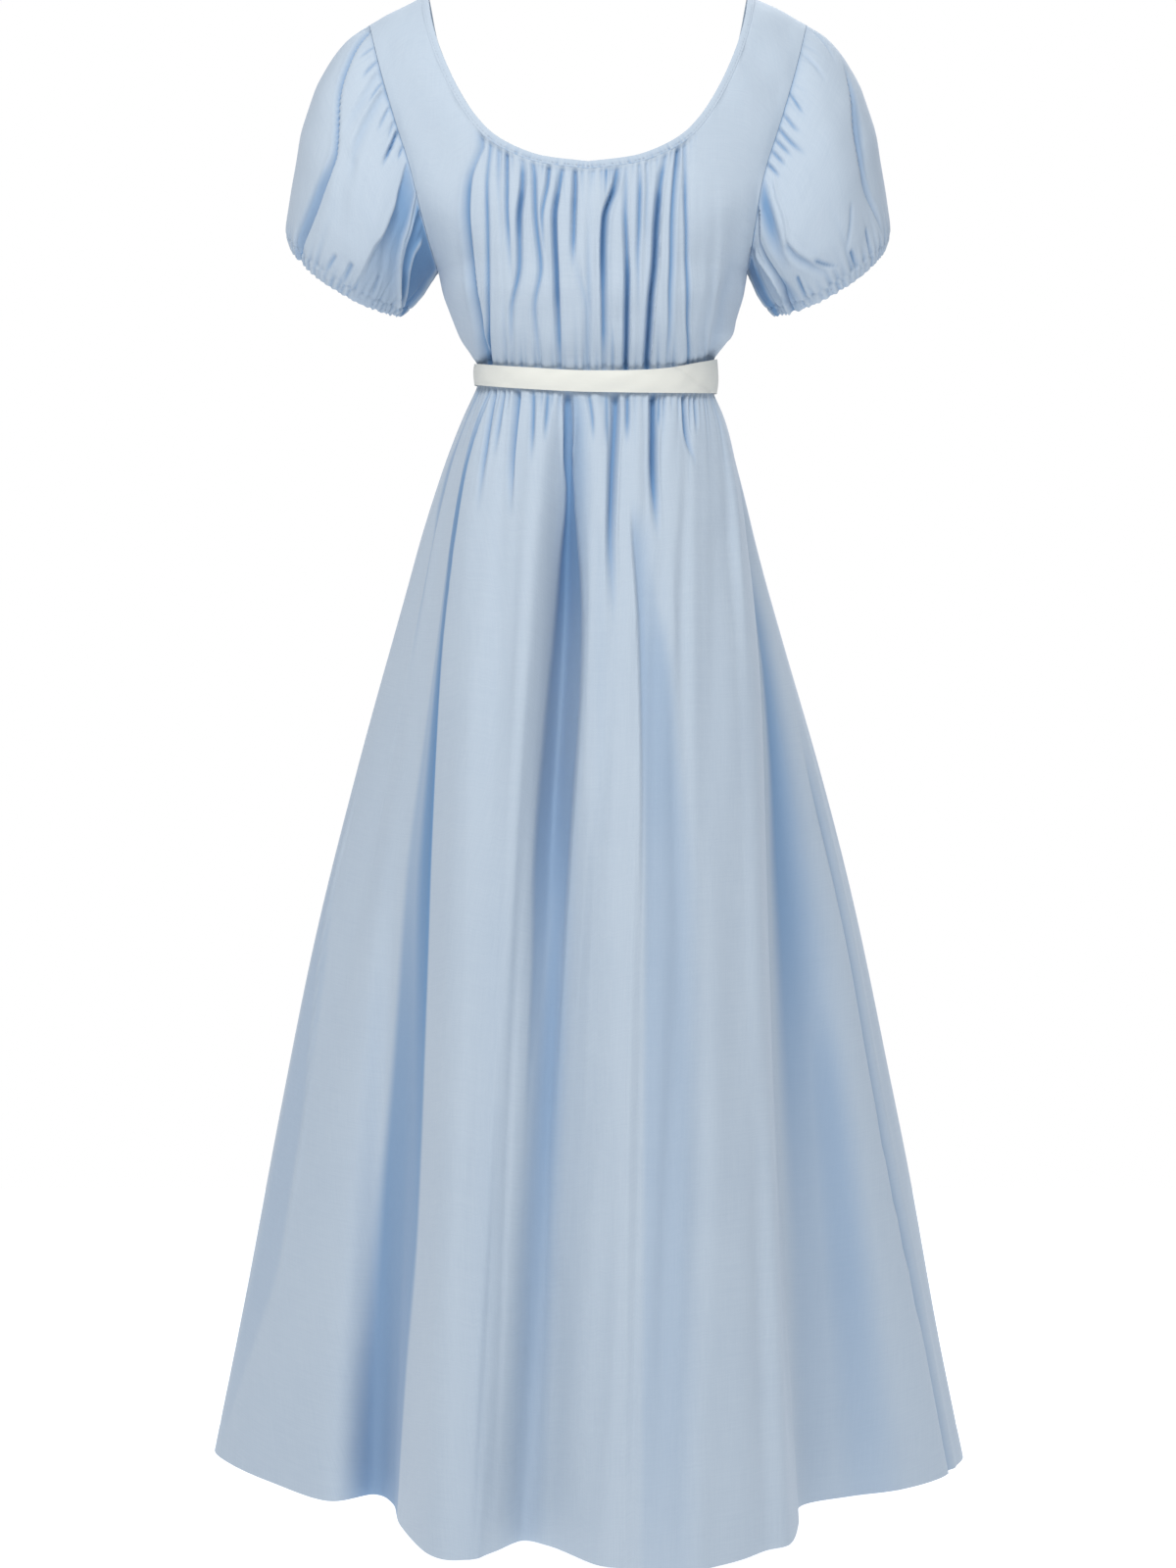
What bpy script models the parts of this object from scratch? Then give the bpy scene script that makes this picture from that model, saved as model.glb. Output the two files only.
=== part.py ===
"""A puff sleeve dress with a gathered scoop neck, a high waist and a ribbon belt.

The cloth hangs as worn, round an empty general figure. Metres, +Z up. The origin is midway between
the shoulders at the height where they carry the dress. The front of the dress faces -Y.
"""

import math

import bmesh
import bpy
import numpy as np

# Cloth and seams
WALL = 0.0015
SEAM_GAP = 0.0003
SEAM_RELIEF = 0.0008
STEEPEST = 0.42
BINDING_WALL = 0.0019
BINDING_WIDTH = 0.0075
FRONT, BACK = -1, 1
LEFT, RIGHT = -1, 1

# Shoulders, armholes and underarms
SHOULDER_X = 0.198
SHOULDER_Z = -0.012
SHOULDER_SLOPE = 0.5
SHOULDER_ROUND = 2.2
CHEST_Z = -0.13
UNDERARM_Z = -0.236
BODY_POWER = 2.5
ARM_HOLLOW = 0.034
ARM_HOLLOW_RISE = 0.075
ARMHOLE = {
    "z": (-0.236, -0.199, -0.154, -0.110, -0.064, -0.012),
    "x": (0.1403, 0.1473, 0.1568, 0.1707, 0.1845, 0.198),
}

# Half width of the bodice below the underarm, depth of the figure all the way up, and its middle
HALF_WIDTH = {
    "z": (-0.3083, -0.2905, -0.2727, -0.2549, -0.236),
    "x": (0.1177, 0.1253, 0.1315, 0.1373, 0.1403),
}
DEPTH = {
    "z": (-0.320, -0.290, -0.255, -0.200, -0.130, -0.060, 0.010),
    "front": (0.103, 0.116, 0.125, 0.125, 0.114, 0.101, 0.090),
    "back": (0.101, 0.110, 0.114, 0.114, 0.107, 0.098, 0.090),
}
MIDDLE = {
    "z": (-1.325, -0.500, -0.420, -0.334, -0.255, -0.160, 0.0),
    "x": (0.0, 0.0005, 0.003, 0.0072, 0.005, 0.0, 0.0),
}

# Seam under the neck binding: half width against height, from the shoulder to the middle
NECK = {
    "x": (0.1510, 0.1462, 0.1400, 0.1248, 0.1025, 0.0830, 0.0420, 0.0),
    "z": (0.0115, -0.0160, -0.0385, -0.0760, -0.1130, -0.1320, -0.1500, -0.1556),
}
BACK_NECK_RISE = 0.010
NECK_STEPS = 400

# How a bodice panel's top edge is shared out: gathered neck, plain neck, shoulder seam
GATHER_SHARE = 0.5
GATHER_HALF = 0.094
SHOULDER_SHARE = 0.86
SHOULDER_COLUMNS = 2
PLAIN_COLUMNS = 5
PANEL_STEPS = 240

# High waist and belt, by angle round the body in degrees: -90 is the left side, 0 the middle front
WAIST_HALF = 0.1081
WAIST_DEPTH = 0.0935
BELT = {
    "angle": (-90, -30, 0, 28, 52, 90, 180),
    "top": (-0.3190, -0.3267, -0.3302, -0.3278, -0.3213, -0.3145, -0.3190),
    "bottom": (-0.3380, -0.3458, -0.3492, -0.3495, -0.3485, -0.3457, -0.3380),
}
BELT_WALL = 0.0012
BELT_LAP = 0.045
BELT_STAND = 0.0017
BELT_COLUMNS = 84
BELT_MARGIN = 0.001
PINCH_RISE = 0.016

# Valleys of the gathered bodice: distances from the middle and depths at the waist, half way up, at the neck
BODICE_FOLDS = (
    # waist x, middle x, neck x, waist depth, middle depth, neck depth
    (-0.0984, -0.1088, -0.0941, 0.0035, 0.0040, 0.0025),
    (-0.0880, -0.0923, -0.0837, 0.0005, 0.0025, 0.0020),
    (-0.0775, -0.0776, -0.0716, 0.0010, 0.0008, 0.0025),
    (-0.0661, -0.0628, -0.0586, 0.0012, 0.0030, 0.0030),
    (-0.0530, -0.0489, -0.0464, 0.0030, 0.0030, 0.0028),
    (-0.0426, -0.0402, -0.0343, 0.0010, 0.0008, 0.0022),
    (-0.0321, -0.0307, -0.0204, 0.0035, 0.0038, 0.0035),
    (-0.0190, -0.0177, -0.0082, 0.0010, 0.0018, 0.0022),
    (-0.0068, -0.0038, 0.0030, 0.0028, 0.0024, 0.0012),
    (0.0063, 0.0083, 0.0187, 0.0035, 0.0038, 0.0032),
    (0.0247, 0.0248, 0.0317, 0.0032, 0.0026, 0.0020),
    (0.0343, 0.0387, 0.0447, 0.0010, 0.0024, 0.0024),
    (0.0456, 0.0543, 0.0638, 0.0036, 0.0042, 0.0038),
    (0.0657, 0.0700, 0.0759, 0.0030, 0.0038, 0.0028),
    (0.0823, 0.0838, 0.0863, 0.0032, 0.0034, 0.0022),
)
RIDGE_SHARE = 0.5
PANEL_ROWS = {
    "up": (0.0, 0.0, 0.0, 0.19, 0.294, 0.39, 0.49, 0.59, 0.69, 0.78, 0.865, 0.935, 0.98, 1.0),
    "relief": (0.0, 0.0, 0.9, 1.0, 1.0, 1.0, 1.0, 1.0, 1.0, 1.0, 1.0, 1.0, 0.7, 0.0),
}
BELT_ROW, LOW_ROW, UNDERARM_ROW = 1, 2, 4
LOW_ROW_RISE = 0.009

# Skirt: its flare from the belt to the hem, and its folds from the left side round the front and the back
HEM_Z = -1.325
FLARE = {
    "down": (0.0, 0.028, 0.08, 0.19, 0.35, 0.52, 0.68, 0.85, 1.0),
    "share": (0.0, 0.05, 0.12, 0.246, 0.43, 0.606, 0.74, 0.874, 1.0),
}
SKIRT_FOLDS = (
    # waist angle, hem x, hem y, bow x, bow y, columns to the next fold
    (-90, -0.348, 0.008, 0.000, 0.000, 2),
    (-85, -0.328, -0.045, 0.000, 0.000, 2),
    (-80, -0.285, -0.110, 0.000, -0.004, 2),
    (-75, -0.228, -0.175, -0.004, -0.008, 2),
    (-71, -0.188, -0.150, -0.010, 0.014, 2),
    (-67, -0.170, -0.182, -0.014, 0.012, 2),
    (-61, -0.162, -0.250, -0.015, -0.002, 2),
    (-55, -0.139, -0.328, -0.010, -0.010, 4),
    (-40, -0.101, -0.366, 0.000, -0.008, 6),
    (-14, -0.078, -0.336, 0.007, -0.010, 2),
    (-9, -0.056, -0.302, 0.012, 0.018, 2),
    (-4, -0.034, -0.318, 0.016, -0.010, 4),
    (9, 0.000, -0.366, 0.008, -0.006, 8),
    (32, 0.054, -0.394, 0.002, -0.002, 8),
    (56, 0.108, -0.380, 0.004, -0.002, 4),
    (70, 0.148, -0.334, 0.012, 0.000, 4),
    (77, 0.175, -0.298, 0.020, 0.000, 2),
    (80.5, 0.180, -0.245, 0.023, 0.004, 2),
    (83, 0.188, -0.190, 0.020, 0.010, 2),
    (85, 0.232, -0.158, 0.006, 0.004, 2),
    (87, 0.280, -0.135, 0.000, 0.000, 2),
    (88.5, 0.322, -0.088, 0.000, 0.000, 2),
    (90, 0.345, -0.028, 0.000, 0.000, 4),
    (100, 0.337, 0.055, 0.000, 0.004, 4),
    (112, 0.297, 0.138, 0.002, 0.006, 4),
    (125, 0.246, 0.150, 0.004, -0.016, 4),
    (133, 0.231, 0.235, 0.006, -0.004, 4),
    (144, 0.179, 0.300, 0.004, 0.008, 4),
    (158, 0.119, 0.268, 0.004, -0.016, 4),
    (168, 0.073, 0.332, 0.004, 0.002, 4),
    (183, 0.006, 0.346, 0.000, 0.006, 4),
    (197, -0.054, 0.297, 0.000, -0.018, 4),
    (209, -0.109, 0.324, -0.002, 0.002, 4),
    (221, -0.181, 0.289, -0.004, 0.006, 4),
    (233, -0.212, 0.214, -0.006, -0.012, 4),
    (244, -0.270, 0.186, -0.002, 0.004, 4),
    (255, -0.318, 0.118, 0.000, 0.002, 2),
    (263, -0.338, 0.062, 0.000, -0.004, 2),
)
RIGHT_SEAM_FOLD = 22
BOW_PEAK = 9.48
SKIRT_ROWS = (0.0, 0.0, 0.0, 0.07, 0.13, 0.20, 0.29, 0.40, 0.53, 0.68, 0.84, 1.0)
SKIRT_LOW_ROW = 0.018
SKIRT_GATHER_DEPTH = 0.0034
GATHER_REACH = (0.10, 0.18)
REACH_STEP, REACH_CYCLE = 7, 11

# Puff sleeves: the cuff of the right one, and how far the cloth stands off straight lines down to it
CUFF_OUTER = (0.271, -0.212)
CUFF_INNER = (0.170, -0.2755)
CUFF_DEPTH = 0.056
CUFF_TILT = math.radians(15)
CASING = 0.010
SLEEVE_GAP = 0.00042
PUFF = {
    "along": (0.0, 0.06, 0.12, 0.22, 0.35, 0.50, 0.66, 0.83, 0.95, 1.0),
    "over": (0.0, 0.0100, 0.0165, 0.0227, 0.0265, 0.0260, 0.0206, 0.0141, 0.0080, 0.0),
    "side": (0.0, 0.0050, 0.0100, 0.0170, 0.0240, 0.0275, 0.0260, 0.0185, 0.0080, 0.0),
    "under": (0.0, 0.0, 0.0005, 0.0010, 0.0020, 0.0030, 0.0030, 0.0020, 0.0010, 0.0),
}
SLEEVE_ROWS = (0.0, 0.06, 0.15, 0.28, 0.43, 0.59, 0.75, 0.89, 1.0)
CASING_ROWS = (0.35, 1.0)
SLEEVE_GATHERS = 28
CAP_GATHER_DEPTH = 0.0034
CUFF_GATHER_DEPTH = 0.0026
CASING_RELIEF = 0.0018

BLUE = (0.505, 0.640, 0.835, 1.0)
IVORY = (0.83, 0.82, 0.765, 1.0)


def smooth_step(share):
    """0 below 0, 1 above 1 and an S between."""
    share = np.clip(share, 0.0, 1.0)
    return share * share * (3 - 2 * share)


def unit(vectors):
    """The vectors at length 1."""
    return vectors / np.maximum(np.linalg.norm(vectors, axis=-1, keepdims=True), 1e-12)


def power(value, exponent):
    """A power that keeps the sign, for superellipses."""
    return np.sign(value) * np.abs(value) ** exponent


def hermite(start, end, lift_in, lift_out, share):
    """A cubic between two values with the rises they would have at its ends."""
    ease = share * share * (3 - 2 * share)
    rise = share * (1 - share) ** 2 * lift_in + share * share * (share - 1) * lift_out
    return start + (end - start) * ease + rise


def through(stations, values, at):
    """A cubic through a table's rows that never overshoots them."""
    stations, values = np.asarray(stations, float), np.asarray(values, float)
    gaps = np.diff(stations)
    slopes = np.diff(values) / gaps
    one_way = slopes[:-1] * slopes[1:] > 0
    before, after = np.where(one_way, slopes[:-1], 1.0), np.where(one_way, slopes[1:], 1.0)
    left, right = 2 * gaps[1:] + gaps[:-1], gaps[1:] + 2 * gaps[:-1]
    inner = np.where(one_way, (left + right) / (left / before + right / after), 0.0)
    tangents = np.concatenate([slopes[:1], inner, slopes[-1:]])
    at = np.clip(at, stations[0], stations[-1])
    cell = np.clip(np.searchsorted(stations, at, side="right") - 1, 0, len(gaps) - 1)
    gap = gaps[cell]
    share = (at - stations[cell]) / gap
    return hermite(values[cell], values[cell + 1], gap * tangents[cell], gap * tangents[cell + 1], share)


def round_ring(stations, values, period, at):
    """A cubic through rows that repeat after one period, with slopes from each row's neighbours."""
    stations, values = np.asarray(stations, float), np.asarray(values, float)
    ends = np.concatenate([values, values[:1]])
    places = np.concatenate([stations, [stations[0] + period]])
    gaps = np.diff(places)
    slopes = np.diff(ends) / gaps
    before, gap_before = np.roll(slopes, 1), np.roll(gaps, 1)
    tangents = (slopes * gap_before + before * gaps) / (gaps + gap_before)
    tangents = np.concatenate([tangents, tangents[:1]])
    at = (np.asarray(at, float) - stations[0]) % period + stations[0]
    cell = np.clip(np.searchsorted(places, at, side="right") - 1, 0, len(gaps) - 1)
    gap = gaps[cell]
    share = (at - places[cell]) / gap
    return hermite(ends[cell], ends[cell + 1], gap * tangents[cell], gap * tangents[cell + 1], share)


def middle_x(z):
    """The figure's middle at a height."""
    return through(MIDDLE["z"], MIDDLE["x"], z)


def belt_edge(edge, angle):
    """Height of the belt's top or bottom edge at an angle round the body."""
    return round_ring(BELT["angle"], BELT[edge], 360, angle)


def waist_seam_z(angle):
    """The waist seam runs along the middle of the belt."""
    return (belt_edge("top", angle) + belt_edge("bottom", angle)) / 2


def round_angle(turn, side):
    """Angle round the body, in degrees, of a section angle on the front or the back."""
    return np.degrees(turn) if side == FRONT else 180 - np.degrees(turn)


def shoulder_z(x):
    """Height of the shoulder line at a distance from the middle."""
    return SHOULDER_Z + (SHOULDER_X - np.abs(x)) * SHOULDER_SLOPE


def armhole_x(z):
    """Half width of the bodice at its armhole edge."""
    return through(ARMHOLE["z"], ARMHOLE["x"], z)


def body_half(z):
    """Half width of a section: to the side seam, or past the armhole edge above the underarm."""
    below = through(HALF_WIDTH["z"], HALF_WIDTH["x"], z)
    hollow = ARM_HOLLOW * smooth_step((z - UNDERARM_Z) / ARM_HOLLOW_RISE) ** 0.7
    return np.where(z < UNDERARM_Z, below, armhole_x(z) + hollow)


def body_angle(x, z):
    """Section angle of a point at a distance from the middle."""
    return np.arcsin(np.clip(power(x / body_half(z), BODY_POWER / 2), -1.0, 1.0))


def body_point(turn, z, side):
    """A point on the figure: superellipse sections, rounded over the shoulders and pinched in at the belt."""
    past_belt = (z - belt_edge("top", round_angle(turn, side)) - BELT_MARGIN) / PINCH_RISE
    full = smooth_step(past_belt)
    depth = through(DEPTH["z"], DEPTH["front" if side == FRONT else "back"], z)
    half = WAIST_HALF + (body_half(z) - WAIST_HALF) * full
    depth = WAIST_DEPTH + (depth - WAIST_DEPTH) * full
    x = half * power(np.sin(turn), 2 / BODY_POWER)
    rise = np.clip((z - CHEST_Z) / (shoulder_z(x) - CHEST_Z), 0.0, 1.0)
    rounded = (1 - rise**SHOULDER_ROUND) ** (1 / SHOULDER_ROUND)
    y = side * depth * np.clip(np.cos(turn), 0.0, 1.0) ** (2 / BODY_POWER) * rounded
    return np.stack([x + middle_x(z), y, z], axis=-1)


def neck_curve(side, lift, shares):
    """Half the neckline as x and z, from the shoulder at share 0 to the middle at 1, lifted off its seam."""
    fine = np.linspace(0, 1, NECK_STEPS)
    stations = np.linspace(0, 1, len(NECK["x"]))
    x = through(stations, NECK["x"], fine)
    z = through(stations, NECK["z"], fine) + (BACK_NECK_RISE * fine**1.5 if side == BACK else 0.0)
    along = unit(np.stack([np.gradient(x), np.gradient(z)], axis=-1))
    along[0] = 0.0, -1.0
    along[-1] = -1.0, 0.0
    x = x + lift * along[:, 1]
    z = z - lift * along[:, 0]
    z[0] = shoulder_z(x[0])
    length = np.concatenate([[0], np.cumsum(np.hypot(np.diff(x), np.diff(z)))])
    at = np.asarray(shares) * length[-1]
    return np.interp(at, length, x), np.interp(at, length, z)


def neck_share(side, u):
    """Where a panel column meets the neckline: by distance from the middle where it is gathered."""
    fine = np.linspace(0, 1, NECK_STEPS)
    x, _ = neck_curve(side, 0.0, fine)
    edge = np.interp(-GATHER_HALF, -x, fine)
    gathered = np.interp(-np.abs(u) * GATHER_HALF / GATHER_SHARE, -x, fine)
    plain = edge * (SHOULDER_SHARE - np.abs(u)) / (SHOULDER_SHARE - GATHER_SHARE)
    return np.where(np.abs(u) <= GATHER_SHARE, gathered, np.clip(plain, 0, 1))


def panel_top(side, u):
    """Section angle and height of a panel's top edge: shoulder seam, neckline, shoulder seam."""
    neck_x, neck_z = neck_curve(side, 0.0, neck_share(side, u))
    corner_x, _ = neck_curve(side, 0.0, 0.0)
    out = np.clip((np.abs(u) - SHOULDER_SHARE) / (1 - SHOULDER_SHARE), 0, 1)
    on_shoulder = np.abs(u) > SHOULDER_SHARE
    x = np.where(on_shoulder, corner_x + (SHOULDER_X - corner_x) * out, neck_x)
    z = np.where(on_shoulder, shoulder_z(x), neck_z)
    return body_angle(np.sign(u) * x, z), z


def panel_bottom(side, u):
    """Section angle and height of a panel's waist edge."""
    gathered_x = np.clip(u / GATHER_SHARE, -1, 1) * GATHER_HALF
    gathered = np.arcsin(power(gathered_x / WAIST_HALF, BODY_POWER / 2))
    past = np.clip((np.abs(u) - GATHER_SHARE) / (1 - GATHER_SHARE), 0, 1)
    turn = gathered + (np.sign(u) * math.pi / 2 - gathered) * past
    return turn, waist_seam_z(round_angle(turn, side)) + SEAM_GAP / 2


def panel_side(side, hand, v):
    """Section angle and height up the side seam and round the armhole edge."""
    _, low = panel_bottom(side, np.array(float(hand)))
    z = low + (SHOULDER_Z - low) * v
    edge = np.where(z < UNDERARM_Z, math.pi / 2, body_angle(armhole_x(z), z))
    return hand * edge, z


def panel_point(side, u, v):
    """A bodice panel: blended from its four edges, then laid on the figure."""
    s = (u + 1) / 2
    left, right = np.array(panel_side(side, LEFT, v)), np.array(panel_side(side, RIGHT, v))
    flat = (1 - v) * np.array(panel_bottom(side, u)) + v * np.array(panel_top(side, u))
    flat += (1 - s) * left + s * right
    for hand, across in ((LEFT, 1 - s), (RIGHT, s)):
        for end, up in ((0.0, 1 - v), (1.0, v)):
            corner = np.array(panel_side(side, hand, np.array(end)))
            flat -= across * up * corner[:, None, None]
    return body_point(flat[0], flat[1], side)


def grid_normals(points, outward, ring=False):
    """Unit normals of a grid of points, turned to the side that outward names."""
    across = np.roll(points, -1, axis=1) - np.roll(points, 1, axis=1) if ring else np.gradient(points, axis=1)
    normals = unit(np.cross(np.gradient(points, axis=0), across))
    return normals * np.where(np.sum(normals * outward, axis=-1, keepdims=True) < 0, -1.0, 1.0)


def panel_heights(side, u):
    """Share of the way up for each row and column: two rows follow the belt's edge and one the underarm."""
    v = np.broadcast_to(np.array(PANEL_ROWS["up"])[:, None], (len(PANEL_ROWS["up"]), u.shape[-1])).copy()
    turn, low = panel_bottom(side, u[0])
    _, high = panel_top(side, u[0])
    over_belt = belt_edge("top", round_angle(turn, side)) - low + BELT_MARGIN
    v[BELT_ROW] = over_belt / (high - low)
    v[LOW_ROW] = (over_belt + LOW_ROW_RISE) / (high - low)
    arms = [(UNDERARM_Z - low[end]) / (SHOULDER_Z - low[end]) for end in (0, -1)]
    v[UNDERARM_ROW] = arms[0] + (arms[1] - arms[0]) * (u[UNDERARM_ROW] + 1) / 2
    return v


def fold_columns(side, v):
    """Panel columns for the folds' valleys, found from their distances to the middle, and their depths."""
    fine = np.linspace(-1, 1, PANEL_STEPS)
    rows = np.asarray(v)[:, None]
    grid = panel_point(side, np.broadcast_to(fine, (len(rows), PANEL_STEPS)), rows)
    x = grid[..., 0] - middle_x(grid[..., 2])
    folds = np.array(BODICE_FOLDS)
    if side == BACK:
        folds = folds[::-1] * [-1, -1, -1, 1, 1, 1]
    columns, depths = [], []
    for fold in folds:
        wanted = through((0.0, 0.5, 1.0), fold[:3], v)
        columns.append([np.interp(place, line, fine) for place, line in zip(wanted, x)])
        depths.append(through((0.0, 0.5, 1.0), fold[3:], v))
    return np.array(columns), np.array(depths)


def bodice_columns(side, v):
    """All columns of a panel and their relief: plain ones at each side, valleys and ridges between."""
    valleys, depths = fold_columns(side, v)
    half_left, half_right = (valleys[1] - valleys[0]) / 2, (valleys[-1] - valleys[-2]) / 2
    edges = [valleys[0] - half_left, valleys[-1] + half_right]
    shoulder = np.linspace(-1, -SHOULDER_SHARE, SHOULDER_COLUMNS, endpoint=False)
    share = np.linspace(0, 1, PLAIN_COLUMNS, endpoint=False)
    columns = [np.full_like(v, place) for place in shoulder]
    columns += [-SHOULDER_SHARE + (edges[0] + SHOULDER_SHARE) * place for place in share]
    relief = [np.zeros_like(v)] * len(columns)
    for fold, valley in enumerate(valleys):
        ridge = (valleys[fold - 1] + valley) / 2 if fold else edges[0]
        height = (depths[fold - 1] + depths[fold]) / 2 if fold else depths[0] / 2
        columns += [ridge, valley]
        relief += [height * RIDGE_SHARE, -depths[fold]]
    columns.append(edges[1])
    relief.append(depths[-1] / 2 * RIDGE_SHARE)
    columns += [edges[1] + (SHOULDER_SHARE - edges[1]) * place for place in share[1:]]
    columns += [np.full_like(v, -place) for place in [-SHOULDER_SHARE, *shoulder[::-1]]]
    relief += [np.zeros_like(v)] * (len(columns) - len(relief))
    return np.stack(columns, axis=-1), np.stack(relief, axis=-1)


def steady(relief, points):
    """Relief held to a slope that keeps the wall whole, from the spacing of the columns."""
    spacing = np.linalg.norm(np.gradient(points, axis=1), axis=-1)
    return np.clip(relief, -STEEPEST * spacing, STEEPEST * spacing)


def bodice_grid(side):
    """A panel's columns, middle surface, normals and relief."""
    rough = np.array(PANEL_ROWS["up"])
    rough[BELT_ROW], rough[LOW_ROW] = rough[LOW_ROW + 1] / 4, rough[LOW_ROW + 1] / 2
    u, relief = bodice_columns(side, rough)
    v = panel_heights(side, u)
    points = panel_point(side, u, v)
    normals = grid_normals(points, np.array([0.0, side, 0.0]) + points * [4, 0, 0])
    on_seam = np.zeros(u.shape, bool)
    on_seam[: UNDERARM_ROW + 1, [0, -1]] = True
    on_seam[-1] = np.abs(u[-1]) >= SHOULDER_SHARE - 1e-6
    normals[on_seam, 1] = 0
    normals = unit(normals)
    points[on_seam, 1] = side * SEAM_GAP / 2
    at_seam = np.clip(relief, -SEAM_RELIEF, SEAM_RELIEF)
    share = np.array(PANEL_ROWS["relief"])[:, None]
    return u, points, normals, steady(at_seam + (relief - at_seam) * share, points)


def wall(name, outer, inner, ring, material):
    """A closed cloth wall between two grids of points that match one to one."""
    rows, columns = outer.shape[:2]
    over = np.arange(rows * columns).reshape(rows, columns)
    under = over + rows * columns
    faces = []
    for column in range(columns if ring else columns - 1):
        beside = (column + 1) % columns
        for row in range(rows - 1):
            for skin in (over, under):
                faces.append((skin[row, column], skin[row, beside], skin[row + 1, beside]))
                faces.append((skin[row, column], skin[row + 1, beside], skin[row + 1, column]))
        for row in (0, rows - 1):
            faces.append((over[row, column], under[row, column], under[row, beside]))
            faces.append((over[row, column], under[row, beside], over[row, beside]))
    for column in () if ring else (0, columns - 1):
        for row in range(rows - 1):
            faces.append((over[row, column], over[row + 1, column], under[row + 1, column]))
            faces.append((over[row, column], under[row + 1, column], under[row, column]))
    points = np.concatenate([outer.reshape(-1, 3), inner.reshape(-1, 3)])
    mesh = bpy.data.meshes.new(name)
    mesh.from_pydata(points.tolist(), [], np.array(faces).tolist())
    shell = bmesh.new()
    shell.from_mesh(mesh)
    bmesh.ops.recalc_face_normals(shell, faces=shell.faces)
    shell.to_mesh(mesh)
    shell.free()
    mesh.materials.append(material)
    mesh.shade_smooth()
    mesh.set_sharp_from_angle(angle=math.radians(50))
    piece = bpy.data.objects.new(name, mesh)
    bpy.context.scene.collection.objects.link(piece)


def cloth(name, colour, roughness):
    """A plain fabric material."""
    material = bpy.data.materials.new(name)
    material.use_nodes = True
    shader = material.node_tree.nodes["Principled BSDF"]
    shader.inputs["Base Color"].default_value = colour
    shader.inputs["Roughness"].default_value = roughness
    shader.inputs["Metallic"].default_value = 0.0
    return material


def add_bodice(side, material):
    """One bodice panel, from side seam to side seam and from the waist to the shoulders."""
    u, points, normals, relief = bodice_grid(side)
    outer = points + normals * relief[..., None]
    inner = outer - normals * WALL
    if side == FRONT:
        wall("bodice_front", outer, inner, False, material)
    else:
        wall("bodice_back", outer[:, ::-1], inner[:, ::-1], False, material)
    return {"u": u[-1], "top": points[-1], "top_normals": normals[-1], "outer": outer}


def add_binding(panels, material):
    """The binding round the neckline, butted to the panels' top edges column by column."""
    seam, edge, face = [], [], []
    for side in (FRONT, BACK):
        panel = panels[side]
        on_neck = np.abs(panel["u"]) <= SHOULDER_SHARE + 1e-6
        u, top, normals = panel["u"][on_neck], panel["top"][on_neck], panel["top_normals"][on_neck]
        x, z = neck_curve(side, BINDING_WIDTH, neck_share(side, u))
        free = body_point(body_angle(np.sign(u) * x, z), z, side)
        free[[0, -1], 1] = 0.0
        top[[0, -1], 1] = 0.0
        order = slice(0, -1) if side == FRONT else slice(-1, 0, -1)
        seam.append((top + unit(free - top) * SEAM_GAP)[order])
        edge.append(free[order])
        face.append(normals[order])
    face = np.concatenate(face)
    inner = np.stack([np.concatenate(seam), np.concatenate(edge)]) - face * WALL
    wall("neck_binding", inner + face * BINDING_WALL, inner, True, material)


def waist_ring(angle):
    """The waist's x and y, from its own middle, at an angle round the body."""
    turn = np.radians(angle)
    x = WAIST_HALF * power(np.sin(turn), 2 / BODY_POWER)
    y = -WAIST_DEPTH * power(np.cos(turn), 2 / BODY_POWER)
    return np.stack([x, y], axis=-1)


def skirt_point(place, down):
    """A point of the skirt: the waist ring and the hem's folds, blended by the flare."""
    folds = np.array(SKIRT_FOLDS, float)
    total = folds[:, 5].sum()
    stations = np.concatenate([[0.0], np.cumsum(folds[:-1, 5])])
    even = stations * 360 / total
    angle = round_ring(stations, folds[:, 0] - even, total, place) + place * 360 / total
    hem_x, hem_y, bow_x, bow_y = [round_ring(stations, folds[:, column], total, place) for column in range(1, 5)]
    ring = waist_ring(angle)
    top = waist_seam_z(angle) - SEAM_GAP / 2
    height = top - HEM_Z
    under_belt = (top - belt_edge("bottom", angle) + BELT_MARGIN) / height
    share = through(FLARE["down"], FLARE["share"], np.clip((down - under_belt) / (1 - under_belt), 0, 1))
    bow = BOW_PEAK * share * (1 - share) ** 3
    z = top - down * height
    x = ring[..., 0] + (hem_x - ring[..., 0]) * share + bow * bow_x + middle_x(z)
    y = ring[..., 1] + (hem_y - ring[..., 1]) * share + bow * bow_y
    return np.stack([x, y, z], axis=-1), under_belt


def skirt_relief(points, down):
    """Small gathers, a ridge and a valley by turns, that start under the belt and run out at uneven lengths."""
    count = points.shape[1]
    ridge = np.where(np.arange(count) % 2 == 0, 1.0, -1.0)
    uneven = (np.arange(count) // 2 * REACH_STEP) % REACH_CYCLE / REACH_CYCLE
    reach = GATHER_REACH[0] + GATHER_REACH[1] * uneven
    hang = smooth_step((down - 0.012) / 0.02) * (1 - smooth_step(down / reach))
    at_seam = SEAM_RELIEF * (1 - smooth_step(down / 0.4))
    return steady(ridge * (at_seam + (SKIRT_GATHER_DEPTH - SEAM_RELIEF) * hang), points)


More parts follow.
